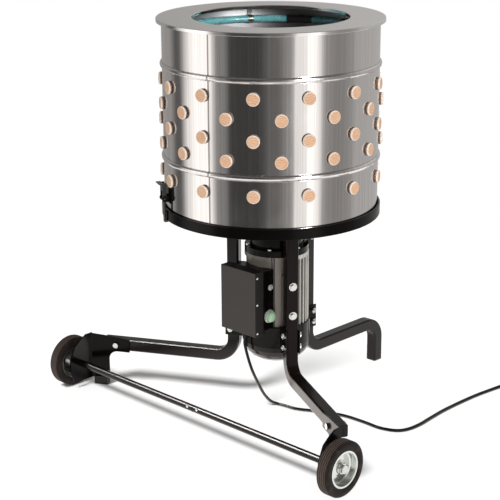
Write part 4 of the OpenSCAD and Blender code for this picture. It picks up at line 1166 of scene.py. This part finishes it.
def cast_alloy(here):
    x = measured_from(here, (0, motor_y, 0))
    # The ribbed side is painted pale as lit and the smooth front darker as shade; the grooves and the
    # slots get painted shade.
    ribbed_and_painted_lit = between_marks(x.other("Y"), *ribs_start)
    painted_groove_shade = between_marks(reach_of(x), *rib_depth) * ribbed_and_painted_lit
    slot_away = abs(abs(turn_of(x) - slot_turn) * motor_r - slot_side)
    painted_slot_shade = 1 - between_marks(slot_away, *slot_marks)
    sand = noise(here, 620.0, 3.0, 0.6)
    cloud = noise(here, 24.0, 3.0)
    bent = round_edges(here, 0.0009)
    worn = edge_mask(here, bent)
    painted_shade_front = mixed(cloud, ink(114, 107, 101), ink(152, 145, 138))
    tone = mixed(ribbed_and_painted_lit, painted_shade_front, mixed(cloud, ink(204, 199, 192), ink(230, 226, 220)))
    tone = mixed(painted_groove_shade * 0.75, tone, ink(62, 57, 52))
    tone = mixed(painted_slot_shade * 0.9, tone, ink(30, 26, 24))
    return {
        "Base Color": mixed(worn * 0.3, tone, ink(222, 217, 208)),
        "Metallic": 0.3,
        "Roughness": 0.34 + sand * 0.2,
        "Normal": dented(sand, 0.00016, 0.4, bent),
    }


motor_alloy = finish("motor_alloy", cast_alloy)
coat(motor_alloy, nodes["motor_frame"])
print("motor slots at", round(math.degrees(slot_turn), 1), "degrees round the motor's axis")

# %% [markdown]
# ## Rubber and plastic
#
# The tyres are hard brown-black rubber, dusty on the tread, with painted highlights on its edges. The
# tread could have a finish of its own, but it is the one part that faces away from the axle, so its
# normal tells it from the sides. The lead, the plug, the gland, the foot blocks and the end caps are
# softer and blacker. The push button is a moulded pale green, and the motor's fan and the hose's tee
# are black plastic.

# %% Tyres
axle_line = (1, 0, 0)


def tyre_rubber(here):
    grit = noise(here, 380.0, 4.0, 0.6)
    dust = between_marks(noise(here, 55.0, 4.0), 0.48, 0.75)
    bent = round_edges(here, 0.001)
    # Pale edges: painted highlights.
    painted_edge_highlight = edge_mask(here, round_edges(here, 0.0028))
    tread = between_marks(abs(dot(true_normal(here), axle_line)), 0.75, 0.35)
    tone = mixed(grit, ink(16, 11, 10), ink(30, 22, 19))
    tone = mixed(dust * 0.25, tone, ink(92, 80, 72))
    tone = mixed(tread * 0.6, tone, ink(108, 94, 87))
    return {
        "Base Color": mixed(painted_edge_highlight * 0.5, tone, ink(118, 102, 94)),
        "Roughness": 0.5 + grit * 0.22,
        "Specular IOR Level": 0.2,
        "Normal": dented(grit, 0.0003, 0.5, bent),
    }


tyre = finish("tyre", tyre_rubber)
coat(tyre, nodes["left_tyre"], nodes["right_tyre"])
print("tyre stands", round(nodes["left_tyre"].dimensions.z, 3), "m high")

# %% Soft rubber


def soft_black(here):
    grain = noise(here, 900.0, 3.0)
    cloud = noise(here, 35.0, 2.0)
    return {
        "Base Color": mixed(cloud, ink(10, 9, 9), ink(18, 17, 16)),
        "Roughness": 0.24 + grain * 0.15,
        "Specular IOR Level": 0.3,
        "Normal": dented(grain, 0.0001, 0.35),
    }


black_rubber = finish("black_rubber", soft_black)
soft_pieces = [lead, plug, coil_tie]
soft_pieces += [nodes[name] for name in ("shaft_seal", "leg_plugs", "foot_blocks", "cord_gland")]
coat(black_rubber, *soft_pieces)
print("soft black rubber on", len(soft_pieces), "pieces")

# %% Moulded plastic


def moulded_green(here):
    fine = noise(here, 600.0, 2.0)
    cloud = noise(here, 90.0, 2.0)
    return {
        "Base Color": mixed(cloud, ink(150, 190, 150), ink(178, 214, 176)),
        "Roughness": 0.25 + fine * 0.1,
        "Coat Weight": 0.3,
        "Coat Roughness": 0.1,
        "Normal": dented(fine, 0.00005, 0.3, round_edges(here, 0.0008)),
    }


def moulded_black(here):
    fine = noise(here, 500.0, 3.0)
    return {
        "Base Color": mixed(fine, ink(28, 28, 28), ink(46, 45, 44)),
        "Roughness": 0.45 + fine * 0.15,
        "Normal": dented(fine, 0.0001, 0.3, round_edges(here, 0.0006)),
    }


button_green = finish("button_green", moulded_green)
fan_plastic = finish("fan_plastic", moulded_black)
coat(button_green, nodes["start_button"])
coat(fan_plastic, nodes["motor_fan"], nodes["hose_tee"])
print("plastic on the button, the fan and the tee")

# %% [markdown]
# ## Finish
#
# Last, the view layer is brought up to date.

# %% Finish
bpy.context.view_layer.update()
